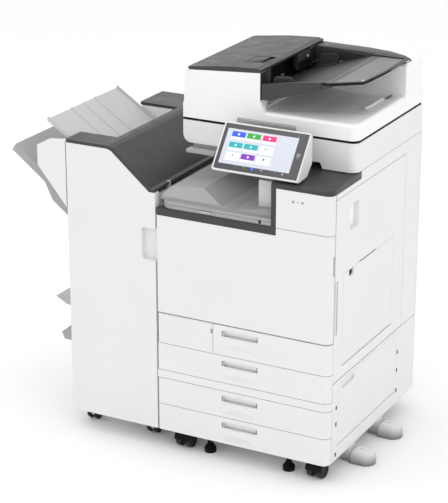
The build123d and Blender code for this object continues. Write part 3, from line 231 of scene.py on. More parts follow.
# Lighter copies of the dark moulding: painted reflection on the input tray's end flap, stepping up from the
# seam.
TRAY = plastic("tray_painted_reflection", (0.085, 0.085, 0.086), rough=0.42, relief=0.2, mottle=0.05)
FLAP = plastic("flap_painted_reflection", (0.17, 0.17, 0.171), rough=0.40, relief=0.2, mottle=0.04)
HOOD = plastic("hood_grey", (0.44, 0.44, 0.445), rough=0.46, relief=0.12, mottle=0.03)
LIGHT = plastic("light_grey_moulding", (0.66, 0.66, 0.66), rough=0.42, relief=0.08, mottle=0.02)
SHADOWED = plastic("shaded_recess", (0.10, 0.10, 0.10), rough=0.6, mottle=0.1)
LENS = plastic("lamp_lens", (0.30, 0.31, 0.32), rough=0.12, relief=0.02, mottle=0.05, coat=0.7)
GREEN = plastic("green_lever", (0.03, 0.30, 0.12), rough=0.35, mottle=0.05)
FILM = plastic("belt_film", (0.035, 0.035, 0.04), rough=0.16, relief=0.03, mottle=0.1, coat=0.6)
BEZEL = plastic("bezel", (0.035, 0.035, 0.038), rough=0.14, relief=0.02, mottle=0.05, coat=0.8)
PAINT = plastic("black_paint", (0.03, 0.03, 0.03), rough=0.5, relief=0.25, mottle=0.1)
FOAM = plastic("platen_foam", (0.88, 0.88, 0.86), rough=0.8, grain=500.0, relief=0.3, mottle=0.02)
STEEL = metal("zinc_steel", (0.62, 0.63, 0.64))
CHROME = metal("turned_steel", (0.78, 0.78, 0.80), rough=0.22, stretch=(40, 1, 1))
RUBBER = rubber("roller_rubber", (0.018, 0.018, 0.018))
TYRE = rubber("wheel_tyre", (0.010, 0.010, 0.011))
GLASS = glass("platen_glass", (0.86, 0.93, 0.92))
LAMP = glow("lamp_tube", (0.9, 0.95, 0.9), 0.15)
TONER = banded("toner_colours", (30, 127, 222, 317, 420),
               ((0.75, 0.60, 0.02), (0.60, 0.03, 0.20), (0.02, 0.25, 0.55), (0.02, 0.02, 0.02),
                (0.02, 0.02, 0.02)))
# The stabiliser shoes carry painted shade near the floor.
SHOE_FLOOR_SHADE = floor_shade_graded("shoe_floor_shade", (0.002, 0.042), (0.16, 0.72))

# The look of every CAD node.
LOOKS = {
    WHITE: """rear_cover left_cover right_cover upper_front_cover front_cover waste_cover bank_case
        right_door bypass_tray bank_door scanner_housing panel_housing
        finisher_case finisher_door tray_1_front tray_2_front tray_3_front tray_4_front""",
    FEEDER_LIT_WHITE: "adf_body",
    SHOE_FLOOR_SHADE: "stabiliser_feet",
    DARK: """exit_trim adf_feed_cover adf_input_tray adf_guide_front adf_guide_rear finisher_caps
        finisher_top_cover panel_stand""",
    GREY: "bridge_unit shift_tray booklet_tray",
    PALE: "inner_cover proof_tray tray_1_bin tray_2_bin tray_3_bin tray_4_bin waste_toner_bottle",
    STEEL: "main_frame fuser_unit stapler_unit",
    PAINT: "laser_unit scan_carriage",
    FILM: "imaging_unit",
    TONER: "toner_bottles",
    RUBBER: "adf_pickup_roller finisher_exit_roller",
    TYRE: """caster_wheels_front_left caster_wheels_front_right caster_wheels_rear_left
        caster_wheels_rear_right finisher_wheels_front finisher_wheels_rear""",
    CASTER: """caster_fork_front_left caster_fork_front_right caster_fork_rear_left
        caster_fork_rear_right levelling_feet""",
    BEZEL: "touch_screen",
    GLASS: "exposure_glass",
}
for look, names in LOOKS.items():
    for name in names.split():
        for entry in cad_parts[name].material_slots:
            entry.material = look


# ---------------------------------------------------------------- shapes

def outline(u, v, radius=0.0, steps=5):
    """A rectangle with rounded corners, as a closed loop of points."""
    if radius <= 0:
        return [(u[0], v[0]), (u[1], v[0]), (u[1], v[1]), (u[0], v[1])]
    points = []
    corners = ((u[1] - radius, v[0] + radius, -90), (u[1] - radius, v[1] - radius, 0),
               (u[0] + radius, v[1] - radius, 90), (u[0] + radius, v[0] + radius, 180))
    for cu, cv, start in corners:
        for step in range(steps + 1):
            angle = math.radians(start + 90 * step / steps)
            points.append((cu + radius * math.cos(angle), cv + radius * math.sin(angle)))
    return points


def circle(u, v, radius, steps=32):
    """A circle as a closed loop of points."""
    turn = 2 * math.pi / steps
    return [(u + radius * math.cos(k * turn), v + radius * math.sin(k * turn)) for k in range(steps)]


def extrude(mesh, loop, limits, place):
    """A prism on a closed loop; place turns (u, v, w) into a frame point."""
    rings = [[mesh.verts.new(place(u, v, w)) for u, v in loop] for w in limits]
    count = len(loop)
    mesh.faces.new(rings[0])
    mesh.faces.new(list(reversed(rings[1])))
    for k in range(count):
        near, far = k, (k + 1) % count
        mesh.faces.new((rings[0][far], rings[0][near], rings[1][near], rings[1][far]))


def along_x(u, v, w):
    """Places a loop drawn in Y and Z, pushed along X."""
    return at(w, u, v)


def along_y(u, v, w):
    """Places a loop drawn in X and Z, pushed along Y."""
    return at(u, w, v)


def along_z(u, v, w):
    """Places a loop drawn in X and Y, pushed along Z."""
    return at(u, v, w)


PANEL_FOOT = (190, 953)            # X of the panel's left edge and Z of its lower edge
LEAN = math.atan2(122, 95)         # how far the panel leans back


def on_panel(u, v, w):
    """A point on the operation panel: across, up the slope, out of its face."""
    c, s = math.cos(LEAN), math.sin(LEAN)
    return at(PANEL_FOOT[0] + u, c * v - s * w, PANEL_FOOT[1] + s * v + c * w)


def turned(mesh, profile, place, steps=32):
    """A solid of revolution; profile is a list of (radius, distance)."""
    rings = []
    for radius, far in profile:
        turn = 2 * math.pi / steps
        rings.append([mesh.verts.new(place(radius * math.cos(k * turn), radius * math.sin(k * turn), far))
                      for k in range(steps)])
    for low, high in zip(rings, rings[1:]):
        for k in range(steps):
            far = (k + 1) % steps
            mesh.faces.new((low[k], low[far], high[far], high[k]))
    mesh.faces.new(list(reversed(rings[0])))
    mesh.faces.new(rings[-1])


def finish_piece(name, body, look, mesh, soften=0.0):
    """Bevel the sharp edges, shade smooth and let the piece ride on its body."""
    bmesh.ops.recalc_face_normals(mesh, faces=mesh.faces)
    if soften:
        sharp = [e for e in mesh.edges if len(e.link_faces) == 2 and e.calc_face_angle() > 0.6]
        bmesh.ops.bevel(mesh, geom=sharp, offset=soften / 1000, segments=2, profile=0.5,
                        affect="EDGES", clamp_overlap=True)
    data = bpy.data.meshes.new(name)
    mesh.to_mesh(data)
    mesh.free()
    data.materials.append(look)
    data.shade_smooth()
    data.set_sharp_from_angle(angle=math.radians(35))
    piece = bpy.data.objects.new(name, data)
    bpy.context.scene.collection.objects.link(piece)
    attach(piece, body)
    return piece


def prism(name, body, look, loops, limits, place, soften=0.0):
    """One piece made of prisms between the same limits."""
    mesh = bmesh.new()
    for loop in loops:
        extrude(mesh, loop, limits, place)
    return finish_piece(name, body, look, mesh, soften)


def box(name, body, look, x, y, z, radius=0.0, soften=0.6):
    """A softened block, with rounded upright corners if a radius is given."""
    return prism(name, body, look, [outline(x, y, radius)], z, along_z, soften)


def turning(name, body, look, centres, profile, axis="y"):
    """Copies of one turned shape at (x, y, z) centres, in one piece."""
    mesh = bmesh.new()
    for x, y, z in centres:
        places = {"x": lambda a, b, far: at(x + far, y + a, z + b),
                  "y": lambda a, b, far: at(x + a, y + far, z + b),
                  "z": lambda a, b, far: at(x + a, y + b, z + far)}
        turned(mesh, profile, places[axis])
    return finish_piece(name, body, look, mesh)


# ---------------------------------------------------------------- camera, floor and light

def make_camera():
    """The long-lens camera in front of the machine, to its right and above."""
    data = bpy.data.cameras.new("camera")
    data.lens = 134.0
    data.sensor_width = 36.0
    camera = bpy.data.objects.new("camera", data)
    bpy.context.scene.collection.objects.link(camera)
    azimuth, elevation = math.radians(27.88), math.radians(20.3)
    back = Vector((math.sin(azimuth) * math.cos(elevation), -math.cos(azimuth) * math.cos(elevation),
                   math.sin(elevation)))
    camera.location = at(2690.4, -4643.9, 2642.7)
    camera.rotation_mode = "QUATERNION"
    camera.rotation_quaternion = (-back).to_track_quat("-Z", "Y")
    bpy.context.scene.camera = camera


def area_light(name, location, target, size, power):
    """A square softbox that faces its target; size in metres, power in watts."""
    data = bpy.data.lights.new(name, "AREA")
    data.shape = "SQUARE"
    data.size = size
    data.energy = power
    lamp = bpy.data.objects.new(name, data)
    lamp.location = location
    lamp.rotation_mode = "QUATERNION"
    lamp.rotation_quaternion = (Vector(target) - Vector(location)).to_track_quat("-Z", "Y")
    bpy.context.scene.collection.objects.link(lamp)


def make_stage():
    """The pale floor, the even white surroundings and three softboxes."""
    mesh = bmesh.new()
    bmesh.ops.create_grid(mesh, x_segments=2, y_segments=2, size=14)
    data = bpy.data.meshes.new("floor")
    mesh.to_mesh(data)
    mesh.free()
    data.materials.append(plastic("pale_floor", (0.94, 0.94, 0.94), rough=0.75, relief=0.02, mottle=0.004))
    floor = bpy.data.objects.new("floor", data)
    bpy.context.scene.collection.objects.link(floor)
    world = bpy.data.worlds.new("studio")
    world.use_nodes = True
    world.node_tree.nodes["Background"].inputs["Color"].default_value = (1, 1, 1, 1)
    world.node_tree.nodes["Background"].inputs["Strength"].default_value = 1.03
    bpy.context.scene.world = world
    area_light("top_softbox", (-0.6, -0.6, 4.2), (0, 0, 0.6), 3.4, 22)
    area_light("left_softbox", (-4.2, -1.6, 2.4), (0, 0, 0.7), 2.6, 11)
    area_light("right_softbox", (3.8, -2.6, 2.6), (0, 0, 0.6), 2.2, 17)
    bpy.context.scene.view_settings.view_transform = "Standard"


make_camera()
make_stage()


# ---------------------------------------------------------------- operation panel

def screen_tiles():
    """The lit display with plain coloured tiles, all flush with the glass."""
    body, slot = "operation_panel", "screen_glass"
    lavender = glow("display_field", (0.57, 0.60, 0.68), 0.18)
    blank = glow("display_white", (0.77, 0.78, 0.81), 0.18)
    prism("display_field", body, lavender, [outline((16.5, 248.5), (23.2, 134.8), 0.8)],
          (-0.2, -0.14), on_panel)
    columns, rows = (55.5, 105.5, 157.0), (119.0, 84.7, 52.3)
    cells = [outline((u - 23.5, u + 23.5), (v - 17, v + 9), 1.5) for u in columns for v in rows]
    prism("display_cells", body, blank, cells, (-0.14, -0.1), on_panel)
    tints = {
        "blue": ((0.02, 0.08, 0.62), [(0, 0)]),
        "green": ((0.02, 0.30, 0.03), [(1, 0)]),
        "pink": ((0.80, 0.02, 0.16), [(2, 0)]),
        "teal": ((0.01, 0.32, 0.36), [(0, 1), (1, 1)]),
        "purple": ((0.16, 0.02, 0.36), [(1, 2)]),
    }
    marks = []
    for tint, (colour, places) in tints.items():
        loops = []
        for column, row in places:
            u, v = columns[column], rows[row]
            loops.append(outline((u - 22.5, u + 22.5), (v - 8.5, v + 8.5), 1.2))
            marks.append(circle(u, v, 3.4, 20))
        prism(f"display_tile_{tint}", body, glow(f"display_{tint}", colour, 0.5), loops,
              (-0.1, -0.06), on_panel)
    marks += [outline((u - 4, u + 4), (v - 13.2, v - 12.4)) for u in columns for v in rows]
    prism("display_marks", body, glow("display_mark", (0.8, 0.82, 0.9), 0.3), marks,
          (-0.06, -0.03), on_panel)
    dim = [circle(columns[2] - 3, rows[1], 2.2, 16), circle(columns[2] + 4, rows[1] + 2, 1.6, 16),
           circle(columns[0], rows[2], 2.0, 16), circle(columns[2], rows[2], 3.2, 16)]
    prism("display_dim_marks", body, glow("display_grey", (0.12, 0.12, 0.16), 0.1), dim,
          (-0.1, -0.05), on_panel)
    keys = {"white": ((0.75, 0.77, 0.85), [(9, 6, 1.3), (160.5, 18.8, 1.6), (229, 17, 1.8)]),
            "blue": ((0.05, 0.12, 0.85), [(129.5, 18.8, 4.6)]),
            "red": ((0.55, 0.05, 0.08), [(41, 7, 1.2), (203.5, 18.5, 1.6)]),
            "olive": ((0.30, 0.33, 0.06), [(102.5, 18.8, 1.8)]),
            "grey": ((0.16, 0.16, 0.2), [(76, 18.8, 1.6), (245.5, 141, 1.8)])}
    for tint, (colour, spots) in keys.items():
        prism(f"panel_keys_{tint}", body, glow(f"key_{tint}", colour, 0.6),
              [circle(u, v, radius, 20) for u, v, radius in spots], (-0.2, -0.12), on_panel)
    mesh = bmesh.new()
    for u, v, radius, width in ((261.6, 82, 5.4, 1.3), (239.5, 35.2, 3.4, 0.7)):
        ring(mesh, u, v, radius, width, (-0.14, -0.05))
    finish_piece("panel_rings", body, glow("key_ring", (0.55, 0.56, 0.6), 0.25), mesh)
    prism("panel_ring_mark", body, glow("ring_mark", (0.4, 0.4, 0.45), 0.2),
          [outline((260.9, 262.3), (80, 86), 0.5), outline((256, 262), (71.6, 72.8), 0.4)],
          (-0.14, -0.05), on_panel)


def ring(mesh, u, v, radius, width, limits):
    """A flat ring on the panel's face."""
    steps, inner_shade = 28, radius - width
    section = ((radius, limits[0]), (radius, limits[1]), (inner_shade, limits[1]), (inner_shade, limits[0]))
    loops = [[mesh.verts.new(on_panel(a, b, w)) for a, b in circle(u, v, r, steps)] for r, w in section]
    for near, far in zip(loops, loops[1:] + loops[:1]):
        for k in range(steps):
            other = (k + 1) % steps
            mesh.faces.new((near[k], near[other], far[other], far[k]))


screen_tiles()


# ---------------------------------------------------------------- document feeder

SEAM_X, SEAM_Z = 467, 1207         # joint between the input tray and its end flap
FLAP_RISE = 2 / 123                # slope of the flap
WALL_X = 268                       # upright wall at the feeder's mouth
MOUTH_Y = (205, 517)
SILL_Z = 1140
TRAY_HINGE = (286, 1168)           # X and Z of the input tray's hinge
TRAY_HINGE_Y = {"front": 186, "rear": 533}


def on_flap(u, v, w):
    """A point on the input tray's end flap, with w above its paper face."""
    return at(u, v, SEAM_Z + (u - SEAM_X) * FLAP_RISE + w)


def feeder_underside():
    """Painted shade as a near-black strip in the gap round the feeder's underside, and its white pad."""
    body, slot, gap = "document_feeder", "dark_plastic", (1038.7, 1046.4)
    edge = [(6.6, 166), (560, 166), (570, 168), (578, 173), (583, 180), (585, 190), (585.6, 640),
            (6.6, 640)]
    # A near-black strip in the gap stands in for its shade.
    prism("feeder_gap_shade", body, SHADOW, [edge], gap, along_z, 0.3)
    prism("feeder_gap_shade_rear", body, SHADOW, [outline((514, 585.6), (641, 658))], gap, along_z, 0.3)
    box("platen_pad", body, FOAM, (88, 545), (200, 520), (1038.5, 1040.3), 6, 0.5)


def feeder_mouth():
    """The dark throat under the lid, with painted shade in its recess and at its back, and its rollers, knob
    and paper guide.
    """
    body, slot = "document_feeder", "dark_plastic"
    front, rear = MOUTH_Y
    slope = [(250, 1168), (267.4, 1162), (267.4, 1212.8), (262, 1213), (250, 1200)]
    prism("throat_front", body, DARK, [slope], (front + 0.9, 238), along_y, 0.6)
    prism("throat_rear", body, DARK, [slope], (424, rear - 0.9), along_y, 0.6)
    # Painted shade in the recess of the mouth's wall.
    recess = outline((427, 515), (1164, 1186), 3)
    prism("throat_recess_shade", body, SHADOW, [recess], (WALL_X - 0.5, WALL_X + 0.2), along_x)
    walls = [outline((165.6, front), (1130, 1213.8)), outline((rear, 545.5), (1130, 1213.8)),
             outline((front, rear), (1130, SILL_Z - 0.2))]
    prism("mouth_walls", body, BLACK, walls, (WALL_X + 0.05, WALL_X + 0.45), along_x)
    jambs = [outline((256, WALL_X + 0.9), y) for y in ((front + 0.1, front + 0.8), (rear - 0.8, rear - 0.1))]
    prism("mouth_jambs", body, BLACK, jambs, (SILL_Z, 1213), along_z)
    sill = outline((255.8, WALL_X + 0.9), (front + 0.2, rear - 0.2))
    prism("mouth_sill", body, BLACK, [sill], (SILL_Z + 0.1, SILL_Z + 0.8), along_z)
    arm = [(268.9, 1162.8), (287, 1163.2), (290.3, 1165.6), (290.8, 1168), (290, 1170.6), (287.6, 1172.5),
           (284.4, 1172.5), (282, 1170.6), (281.3, 1167.7), (268.9, 1167.7)]
    for name, y in TRAY_HINGE_Y.items():
        prism(f"hinge_sleeve_{name}", body, BLACK, [arm], (y - 4.2, y + 4.2), along_y)
        ends = [(TRAY_HINGE[0], y + side, TRAY_HINGE[1]) for side in (-10.9, 10.9)]
        turning(f"hinge_cap_{name}", body, BLACK, ends,
                [(0.1, -0.7), (3.6, -0.7), (3.6, 0.7), (0.1, 0.7)])
    box("mouth_corner", body, BLACK, (267.5, 271.2), (543.3, 546), (SILL_Z, 1213.8), 0, 0.2)
    # Painted shade at the back of the throat.
    prism("throat_back_shade", body, SHADOW, [outline((187, 598), (1156, 1213))], (229.7, 231.7), along_x)
    turning("throat_knob", body, GREY, [(268.9, 485, 1196)],
            [(0.1, 0), (4.2, 0), (5.0, 1.0), (5.0, 3.0), (3.6, 4.4), (0.1, 4.8)], "x")
    shafts, shaft_z = (70, 118, 166), 1166
    turning("feed_rollers", body, RUBBER,
            [(x, y, shaft_z) for x in shafts for y in (225, 330, 435, 540)],
            [(2.5, -14), (9.2, -14), (9.6, -13), (9.6, 13), (9.2, 14), (2.5, 14)])
    turning("feed_roller_shafts", body, CHROME, [(x, 390, shaft_z) for x in shafts],
            [(2.6, -204), (3.0, -203), (3.0, 203), (2.6, 204)])
    base = [(43, SILL_Z + 0.3), (255, SILL_Z + 0.3), (255, 1144.6), (205, 1144.6), (185, 1156), (90, 1156),
            (60, 1148), (43, 1148)]
    prism("feed_guide_plate", body, BLACK, [base], (186, 598), along_y, 1.0)
    turning("feed_knob", body, GREEN, [(shafts[0], 200, shaft_z)],
            [(0.5, 0), (11, 0), (12, 1), (12, 9), (10, 11), (0.5, 11)])


def feeder_ridge():
    """Dark skin on the long ridge behind the input tray."""
    top = [(269.3, 1168), (269.3, 1217), (430, 1215), (500, 1211), (548, 1203.2), (564, 1197),
           (571.5, 1192), (571.5, 1187), (556, 1190.6), (467, 1190.8), (300, 1168)]
    prism("feeder_ridge", "document_feeder", DARK, [top], (544.2, 602.8), along_y, 1.6)


def rim_at(y):
    """How far right the flap's curved end reaches at a depth."""
    return 584.4 - ((y - 405) / 163) ** 2 * 7.0


def input_tray_details():
    """The end flap, lightened with painted reflection, with its dimples, rail joint and rim mark."""
    body, slot = "input_tray", "dark_plastic"
    face = [(494, 178), (516, 190), (562, 226), (570, 250), (576, 380), (572, 532), (494, 532)]
    # Painted reflection: the flap and the band past the seam are lighter copies of the dark moulding.
    prism("tray_flap_reflection", body, FLAP, [face], (0.05, 0.55), on_flap)
    strip = [(469.5, 174), (492, 174), (492, 534), (469.5, 534)]
    prism("tray_flap_strip", body, TRAY, [strip], (0.05, 0.45), on_flap)
    dots = [circle(u, v, 3.2, 20) for u, v in ((477, 459), (510, 476), (529, 500))]
    prism("tray_dimples", body, BLACK, dots, (0.5, 0.7), on_flap)
    prism("tray_rim_mark", body, PALE, [outline((566, 573), (226, 239), 2)], (4.0, 5.4), on_flap, 0.4)
    groove = outline((SEAM_X - 0.9, SEAM_X + 0.4), (172.2, 538.8))
    prism("tray_seam", body, SHADOW, [groove], (SEAM_Z - 1.4, SEAM_Z - 0.4), along_z)
    edge = [(470, 165.5), (493, 165.5), (575, 229)] + [(rim_at(y), y) for y in range(245, 545, 15)]
    rim = edge + [(u - 1.6, v + 1.2) for u, v in reversed(edge)]
    prism("tray_rim_line", body, SHADOW, [rim], (1203.4, 1208.6), along_z)
    rail_face = (165.4, 166.2)
    joint = outline((SEAM_X - 0.6, SEAM_X + 0.8), (1190, 1210))
    prism("tray_joint", body, BLACK, [joint], rail_face, along_y)
    prism("tray_slot", body, BLACK, [outline((486, 494), (1202, 1206))], rail_face, along_y)


def lid_details():
    """The lever and inlay in the lid's pocket."""
    body, slot = "feed_cover", "dark_plastic"
    lever = outline((230, 247), (239, 315), 1)
    prism("lid_lever", body, BLACK, [lever], (1219.2, 1221.5), along_z, 0.5)
    inlay = [(183, 1222.1), (227, 1224.7), (227, 1225.1), (183, 1222.5)]
    prism("lid_inlay", body, DARK, [inlay], (235, 311), along_y, 0.3)


def delivery_stopper():
    """The stopper strip in the delivery dish, its slot and a small mark."""
    body, slot = "document_feeder", "white_plastic"
    box("dish_stopper", body, SATIN_AND_HIGHLIGHT, (527, 538), (345, 468), (1093.6, 1099.5), 2, 0.8)
    box("dish_slot", body, SHADOWED, (540, 546), (478, 519), (1095, 1097), 1, 0.3)
    mark = [(275.0, 1114.2), (276.2, 1111.8), (276.9, 1112.1), (275.7, 1114.5)]
    prism("head_mark", body, SHADOWED, [mark], (193, 201), along_y)
    lip = [(156.4, 1055.4), (164.8, 1055.4), (164.8, 1069.6), (156.4, 1066.5)]
    prism("feeder_grip", body, GREY, [lip], (194.4, 387.6), along_x, 0.6)


# ---------------------------------------------------------------- scanner and panel

def scanner_details():
    """Scale strips beside the glass, the lamp in the carriage, front tongue."""
    slot, height = "light_grey_plastic", (1038.02, 1038.4)
    box("scale_left", "chassis", PALE, (80, 94), (203, 517), height, 0, 0.1)
    box("scale_rear", "chassis", PALE, (98, 536), (517.5, 530), height, 0, 0.1)
    ticks = [outline((104 + 12 * k, 104.8 + 12 * k), (518, 524 if k % 5 else 528)) for k in range(36)]
    prism("scale_ticks", "chassis", BLACK, ticks, (1038.38, 1038.45), along_z)
    box("scan_lamp", "scan_carriage", LAMP, (70, 73), (217, 513), (1010, 1016), 0, 0.8)
    box("scan_mirror", "scan_carriage", CHROME, (80, 86), (217, 513), (1005, 1006.5), 0, 0.3)
    box("scanner_tongue", "chassis", GREY, (30, 128), (134, 170), (944, 954), 3, 1.0)
    box("scanner_tongue_post", "chassis", GREY, (36, 122), (172, 196), (946, 966), 3, 1.0)


# ---------------------------------------------------------------- copier front

def front_details():
    """Lamps, latches, bridge fittings and painted shade in the grip at the cover's side."""
    lamps = {"left": (460.5, 0.5, 3.4), "middle": (475.5, 0.6, 1.8), "right": (490.5, 0.5, 3.4)}
    for name, (x, y, radius) in lamps.items():
        turning(f"status_lamp_{name}", "chassis", LENS, [(x, y, 892)],
                [(0.1, 0), (radius * 0.7, 0.05), (radius, 0.3), (radius, 0.8), (0.1, 0.8)])
    box("waste_cover_latch", "waste_cover", GREY, (188.6, 193.2), (0.3, 1.0), (427, 439), 0, 0.3)
    # Pale grey painted shade in the grip recess at the cover's side.
    box("cover_grip_shade", "front_cover", PALE, (581.8, 583.4), (17, 23.5), (677, 736), 0, 0.3)
    box("bridge_latch", "chassis", GREY, (148, 189), (3.4, 5.6), (816.5, 821), 0, 0.5)
    box("bridge_latch_tab", "chassis", PALE, (150, 187), (3.2, 5.4), (806.5, 814), 2, 0.5)
    box("bridge_knob", "chassis", BLACK, (346, 354), (2.8, 5.6), (806, 816), 2, 0.6)
    box("bridge_joint", "chassis", GREY, (305.3, 306.7), (4.4, 5.6), (803.5, 823.5), 0, 0.1)
    column = outline((318.6, 386.5), (837, 921))
    prism("bridge_column_face", "chassis", LIGHT, [column], (59.3, 60.4), along_y, 0.3)


# ---------------------------------------------------------------- side door, bank and feet

def side_details():
    """Painted shade in the slots, vents, gap and notch of the right side, painted light on the door grip's
    liner, and the side door's fittings.
    """
    for row, (y, heights) in enumerate(((57, (238, 183, 81)), (527, (242, 179, 108)))):
        slots = [outline((y - 4.66, y + 4.66), (z - 6.66, z + 6.66), 1.2) for z in heights]
        # Painted shade filling the bank's slots.
        prism(f"bank_slot_shade_{row}", "chassis", SHADOW, slots, (583.02, 586.96), along_x)
    vents = [outline(y, (z + 0.1, z + 3.5)) for z in (482 + 8.6 * row for row in range(20))
             for y in ((31.1, 34.9), (41.1, 49.9))]
    # Painted shade filling the door's vent slots.
    prism("door_vent_shade", "right_door", SHADOW, vents, (579.2, 586.8), along_x)
    grip = outline((126.4, 187.6), (785.4, 863.6), 9.5)
    prism("door_grip_light", "right_door", PAINTED_LIGHT_WHITE, [grip], (570.05, 570.8), along_x)
    # Painted shade in the bypass gap, in its notch and in the grip's corner.
    box("bypass_gap_shade", "right_door", SHADOW, (572, 586.6), (204, 326), (660.9, 663.3), 0, 0.2)
    notch = [(130, 641), (136, 640), (140, 646), (141, 658), (137, 658), (134, 648)]
    prism("bypass_notch_shade", "bypass_tray", BLACK, [notch], (578.05, 579.4), along_x)
    mark = outline((181, 184.5), (851, 857), 1)
    prism("door_grip_corner_shade", "right_door", SHADOWED, [mark], (570.7, 571.6), along_x)
    shaft_x, shaft_heights = 556, (450, 620, 790)
    turning("duplex_rollers", "right_door", RUBBER,
            [(shaft_x, y, z) for z in shaft_heights for y in (150, 235, 320, 405)],
            [(2.5, -13), (8.2, -13), (8.6, -12), (8.6, 12), (8.2, 13), (2.5, 13)])
    turning("duplex_shafts", "right_door", CHROME, [(shaft_x, 278, z) for z in shaft_heights],
            [(2.0, -183), (2.5, -182.5), (2.5, 182.5), (2.0, 183)])


def feet_details():
    """Painted shade in the stabiliser shoes' screw holes, and threads on the levelling feet."""
    turning("foot_screw_hole_shade", "chassis", SHADOWED, [(612, y, 38.1) for y in (205, 418)],
            [(0.1, 0), (2.9, 0), (2.9, 4.0), (1.2, 4.6), (0.1, 4.6)], "z")
    centres = [(x, y, 26) for x in (160, 435) for y in (48, 560)]
    thread, pitch = [(8.02, 0)], 2.6
    for start in (pitch * turn for turn in range(13)):
        thread += [(8.1, 0.2 + start), (9.3, 1.3 + start), (8.1, 2.4 + start)]
    turning("levelling_threads", "chassis", CASTER, centres, thread, "z")


def drawer_lips():
    """Each drawer's bowed grip: its lip, lighter as a painted highlight, the scoop's liner in painted light,
    and painted shadows at its ends.
    """
    slot, middle, half, bulge = "white_plastic", 287, 59, 8.98
    bow = [(x, -bulge * (1 - ((x - middle) / half) ** 2)) for x in range(229, 346, 4)]
    lip = bow + [(x, y + 2.2) for x, y in reversed(bow)]
    for index, front_top in enumerate((457.8, 358.7, 240.7, 151.2), 1):
        body, z = f"drawer_{index}", front_top - 36
        # The lip's lighter white is a painted highlight.
        prism(f"drawer_lip_{index}", body, SATIN_AND_HIGHLIGHT, [lip], (z - 3.2, z + 0.5), along_z)
        top = z + 22
        liner = [(1.3, top - 0.3), (8.5, top - 6.5), (14.3, z), (14.9, z), (8.9, top - 6.1), (1.9, top - 0.1)]
        # Painted light lining the scoop.
        prism(f"drawer_scoop_light_{index}", body, PAINTED_LIGHT_WHITE, [liner], (229, 345), along_x)
        ends = [outline(x, (z + 3, z + 19), 0.8) for x in ((226, 228.4), (345.6, 348))]
        # Painted shadows at both ends of the lip.
        prism(f"drawer_lip_end_shadows_{index}", body, SHADOWED, ends, (-0.3, 0.6), along_y)


# ---------------------------------------------------------------- behind the covers

def bin_details():
    """Steel lift plates, friction pads and green stops in the paper drawers."""
    bin_lift = 14
    for index, front_foot in enumerate((359.5, 268.7, 152, 62), 1):
        floor = front_foot + bin_lift
        body, left = f"drawer_{index}", 205 if index == 1 else 40
        box(f"lift_plate_{index}", body, STEEL, (left + 61, 517), (88, 499),
            (floor + 10.03, floor + 10.6), 4, 0.2)
        box(f"friction_pad_{index}", body, RUBBER, (left + 120, left + 210), (96, 112),
            (floor + 10.6, floor + 11.6), 3, 0.4)
        box(f"size_stop_{index}", body, GREEN, (left + 26, left + 30), (268, 312),
            (floor + 24, floor + 38), 0, 0.8)


def inner_cover_details():
    """Latches and levers on the moulding behind the front cover."""
    for number, x in enumerate((80, 175, 270, 365), 1):
        box(f"toner_latch_{number}", "chassis", GREY, (x - 14, x + 14), (54, 57.8), (689, 698), 2)
        turning(f"toner_cap_{number}", "chassis", BLACK, [(x, 53.9, 734)],
                [(0.1, -1.6), (8, -1.6), (9, -0.8), (9, 0), (0.1, 0)])
    box("belt_lever", "chassis", GREEN, (446, 462), (44, 57.8), (652, 714), 3, 1.6)
    turning("belt_lever_hub", "chassis", GREEN, [(454, 50, 646)],
            [(0.1, 0), (13, 0), (14, 1), (14, 7.8), (0.1, 7.8)])
    box("drum_stay", "chassis", DARK, (52, 432), (53.5, 57.8), (540, 552), 4, 1.0)
    for x in (58, 426):
        turning(f"drum_stay_screw_{x}", "chassis", CHROME, [(x, 50.9, 546)],
                [(0.1, 0), (3.4, 0.1), (4.4, 1.0), (4.4, 2.6), (0.1, 2.6)])


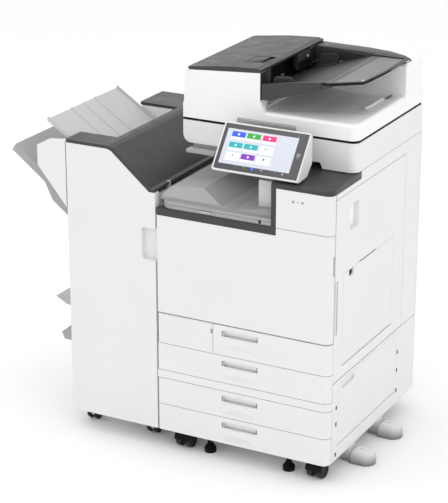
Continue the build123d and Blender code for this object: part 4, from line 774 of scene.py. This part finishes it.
def finisher_details():
    """Guide plates and jam knobs behind the finisher door, and the grey hood."""
    upper = [(-40, 812), (-36, 812), (-118, 690), (-122, 690)]
    lower = [(-66, 520), (-62, 520), (-270, 330), (-274, 330)]
    prism("finisher_guide_upper", "chassis", STEEL, [upper], (60, 596), along_y, 0.4)
    prism("finisher_guide_lower", "chassis", STEEL, [lower], (60, 596), along_y, 0.4)
    knobs = ((-78, 700), (-200, 470), (-110, 300))
    turning("jam_knobs", "chassis", GREEN, [(x, 38, z) for x, z in knobs],
            [(0.5, 0), (19, 0), (21, 2), (21, 14), (18, 16), (0.5, 16)])
    turning("jam_knob_shafts", "chassis", CHROME, [(x, 54, z) for x, z in knobs],
            [(4, 0), (4, 540), (3, 541)])
    hood = [(-321.2, 371.1), (-394.3, 376.1), (-436.3, 398), (-384.6, 433), (-321.2, 475)]
    prism("booklet_hood_face", "chassis", HOOD, [hood], (99.2, 430.8), along_y, 1.2)


def rear_details():
    """Inlet, sockets, screws, and painted shade behind the louvres and inside the sockets, on the back panel.
    """
    for side, x in (("left", (58, 252)), ("right", (338, 522))):
        # Painted shade behind the louvres.
        box(f"louvre_shade_{side}", "chassis", SHADOW, x, (664.2, 664.8), (417, 583), 0, 0)
    prism("inlet_back", "chassis", BLACK, [outline((479, 521), (303, 333), 2)],
          (667.1, 667.6), along_y)
    z, sockets = 640, ((90, 17, 14), (125, 14, 7), (152, 14, 7), (196, 40, 12))
    for number, (x, wide, tall) in enumerate(sockets, 1):
        shell = outline((x, x + wide), (z, z + tall), 1)
        prism(f"socket_{number}", "chassis", STEEL, [shell], (671.8, 672.9), along_y, 0.3)
        inner_shade = outline((x + 1.5, x + wide - 1.5), (z + 1.5, z + tall - 1.5), 0.6)
        # Painted shade inside the socket.
        prism(f"socket_{number}_inner", "chassis", SHADOW, [inner_shade], (672.6, 673.0), along_y)
    spots = [(x, 671.6, z) for x in (18, 295, 568) for z in (282, 400, 610, 760, 940)]
    turning("rear_screws", "chassis", CHROME, spots,
            [(0.1, 0), (4.2, 0), (4.2, 0.6), (3.0, 1.6), (0.9, 1.9), (0.9, 1.2), (0.1, 1.2)])


feeder_underside()
feeder_mouth()
feeder_ridge()
input_tray_details()
lid_details()
delivery_stopper()
scanner_details()
front_details()
side_details()
feet_details()
drawer_lips()
bin_details()
inner_cover_details()
finisher_details()
rear_details()
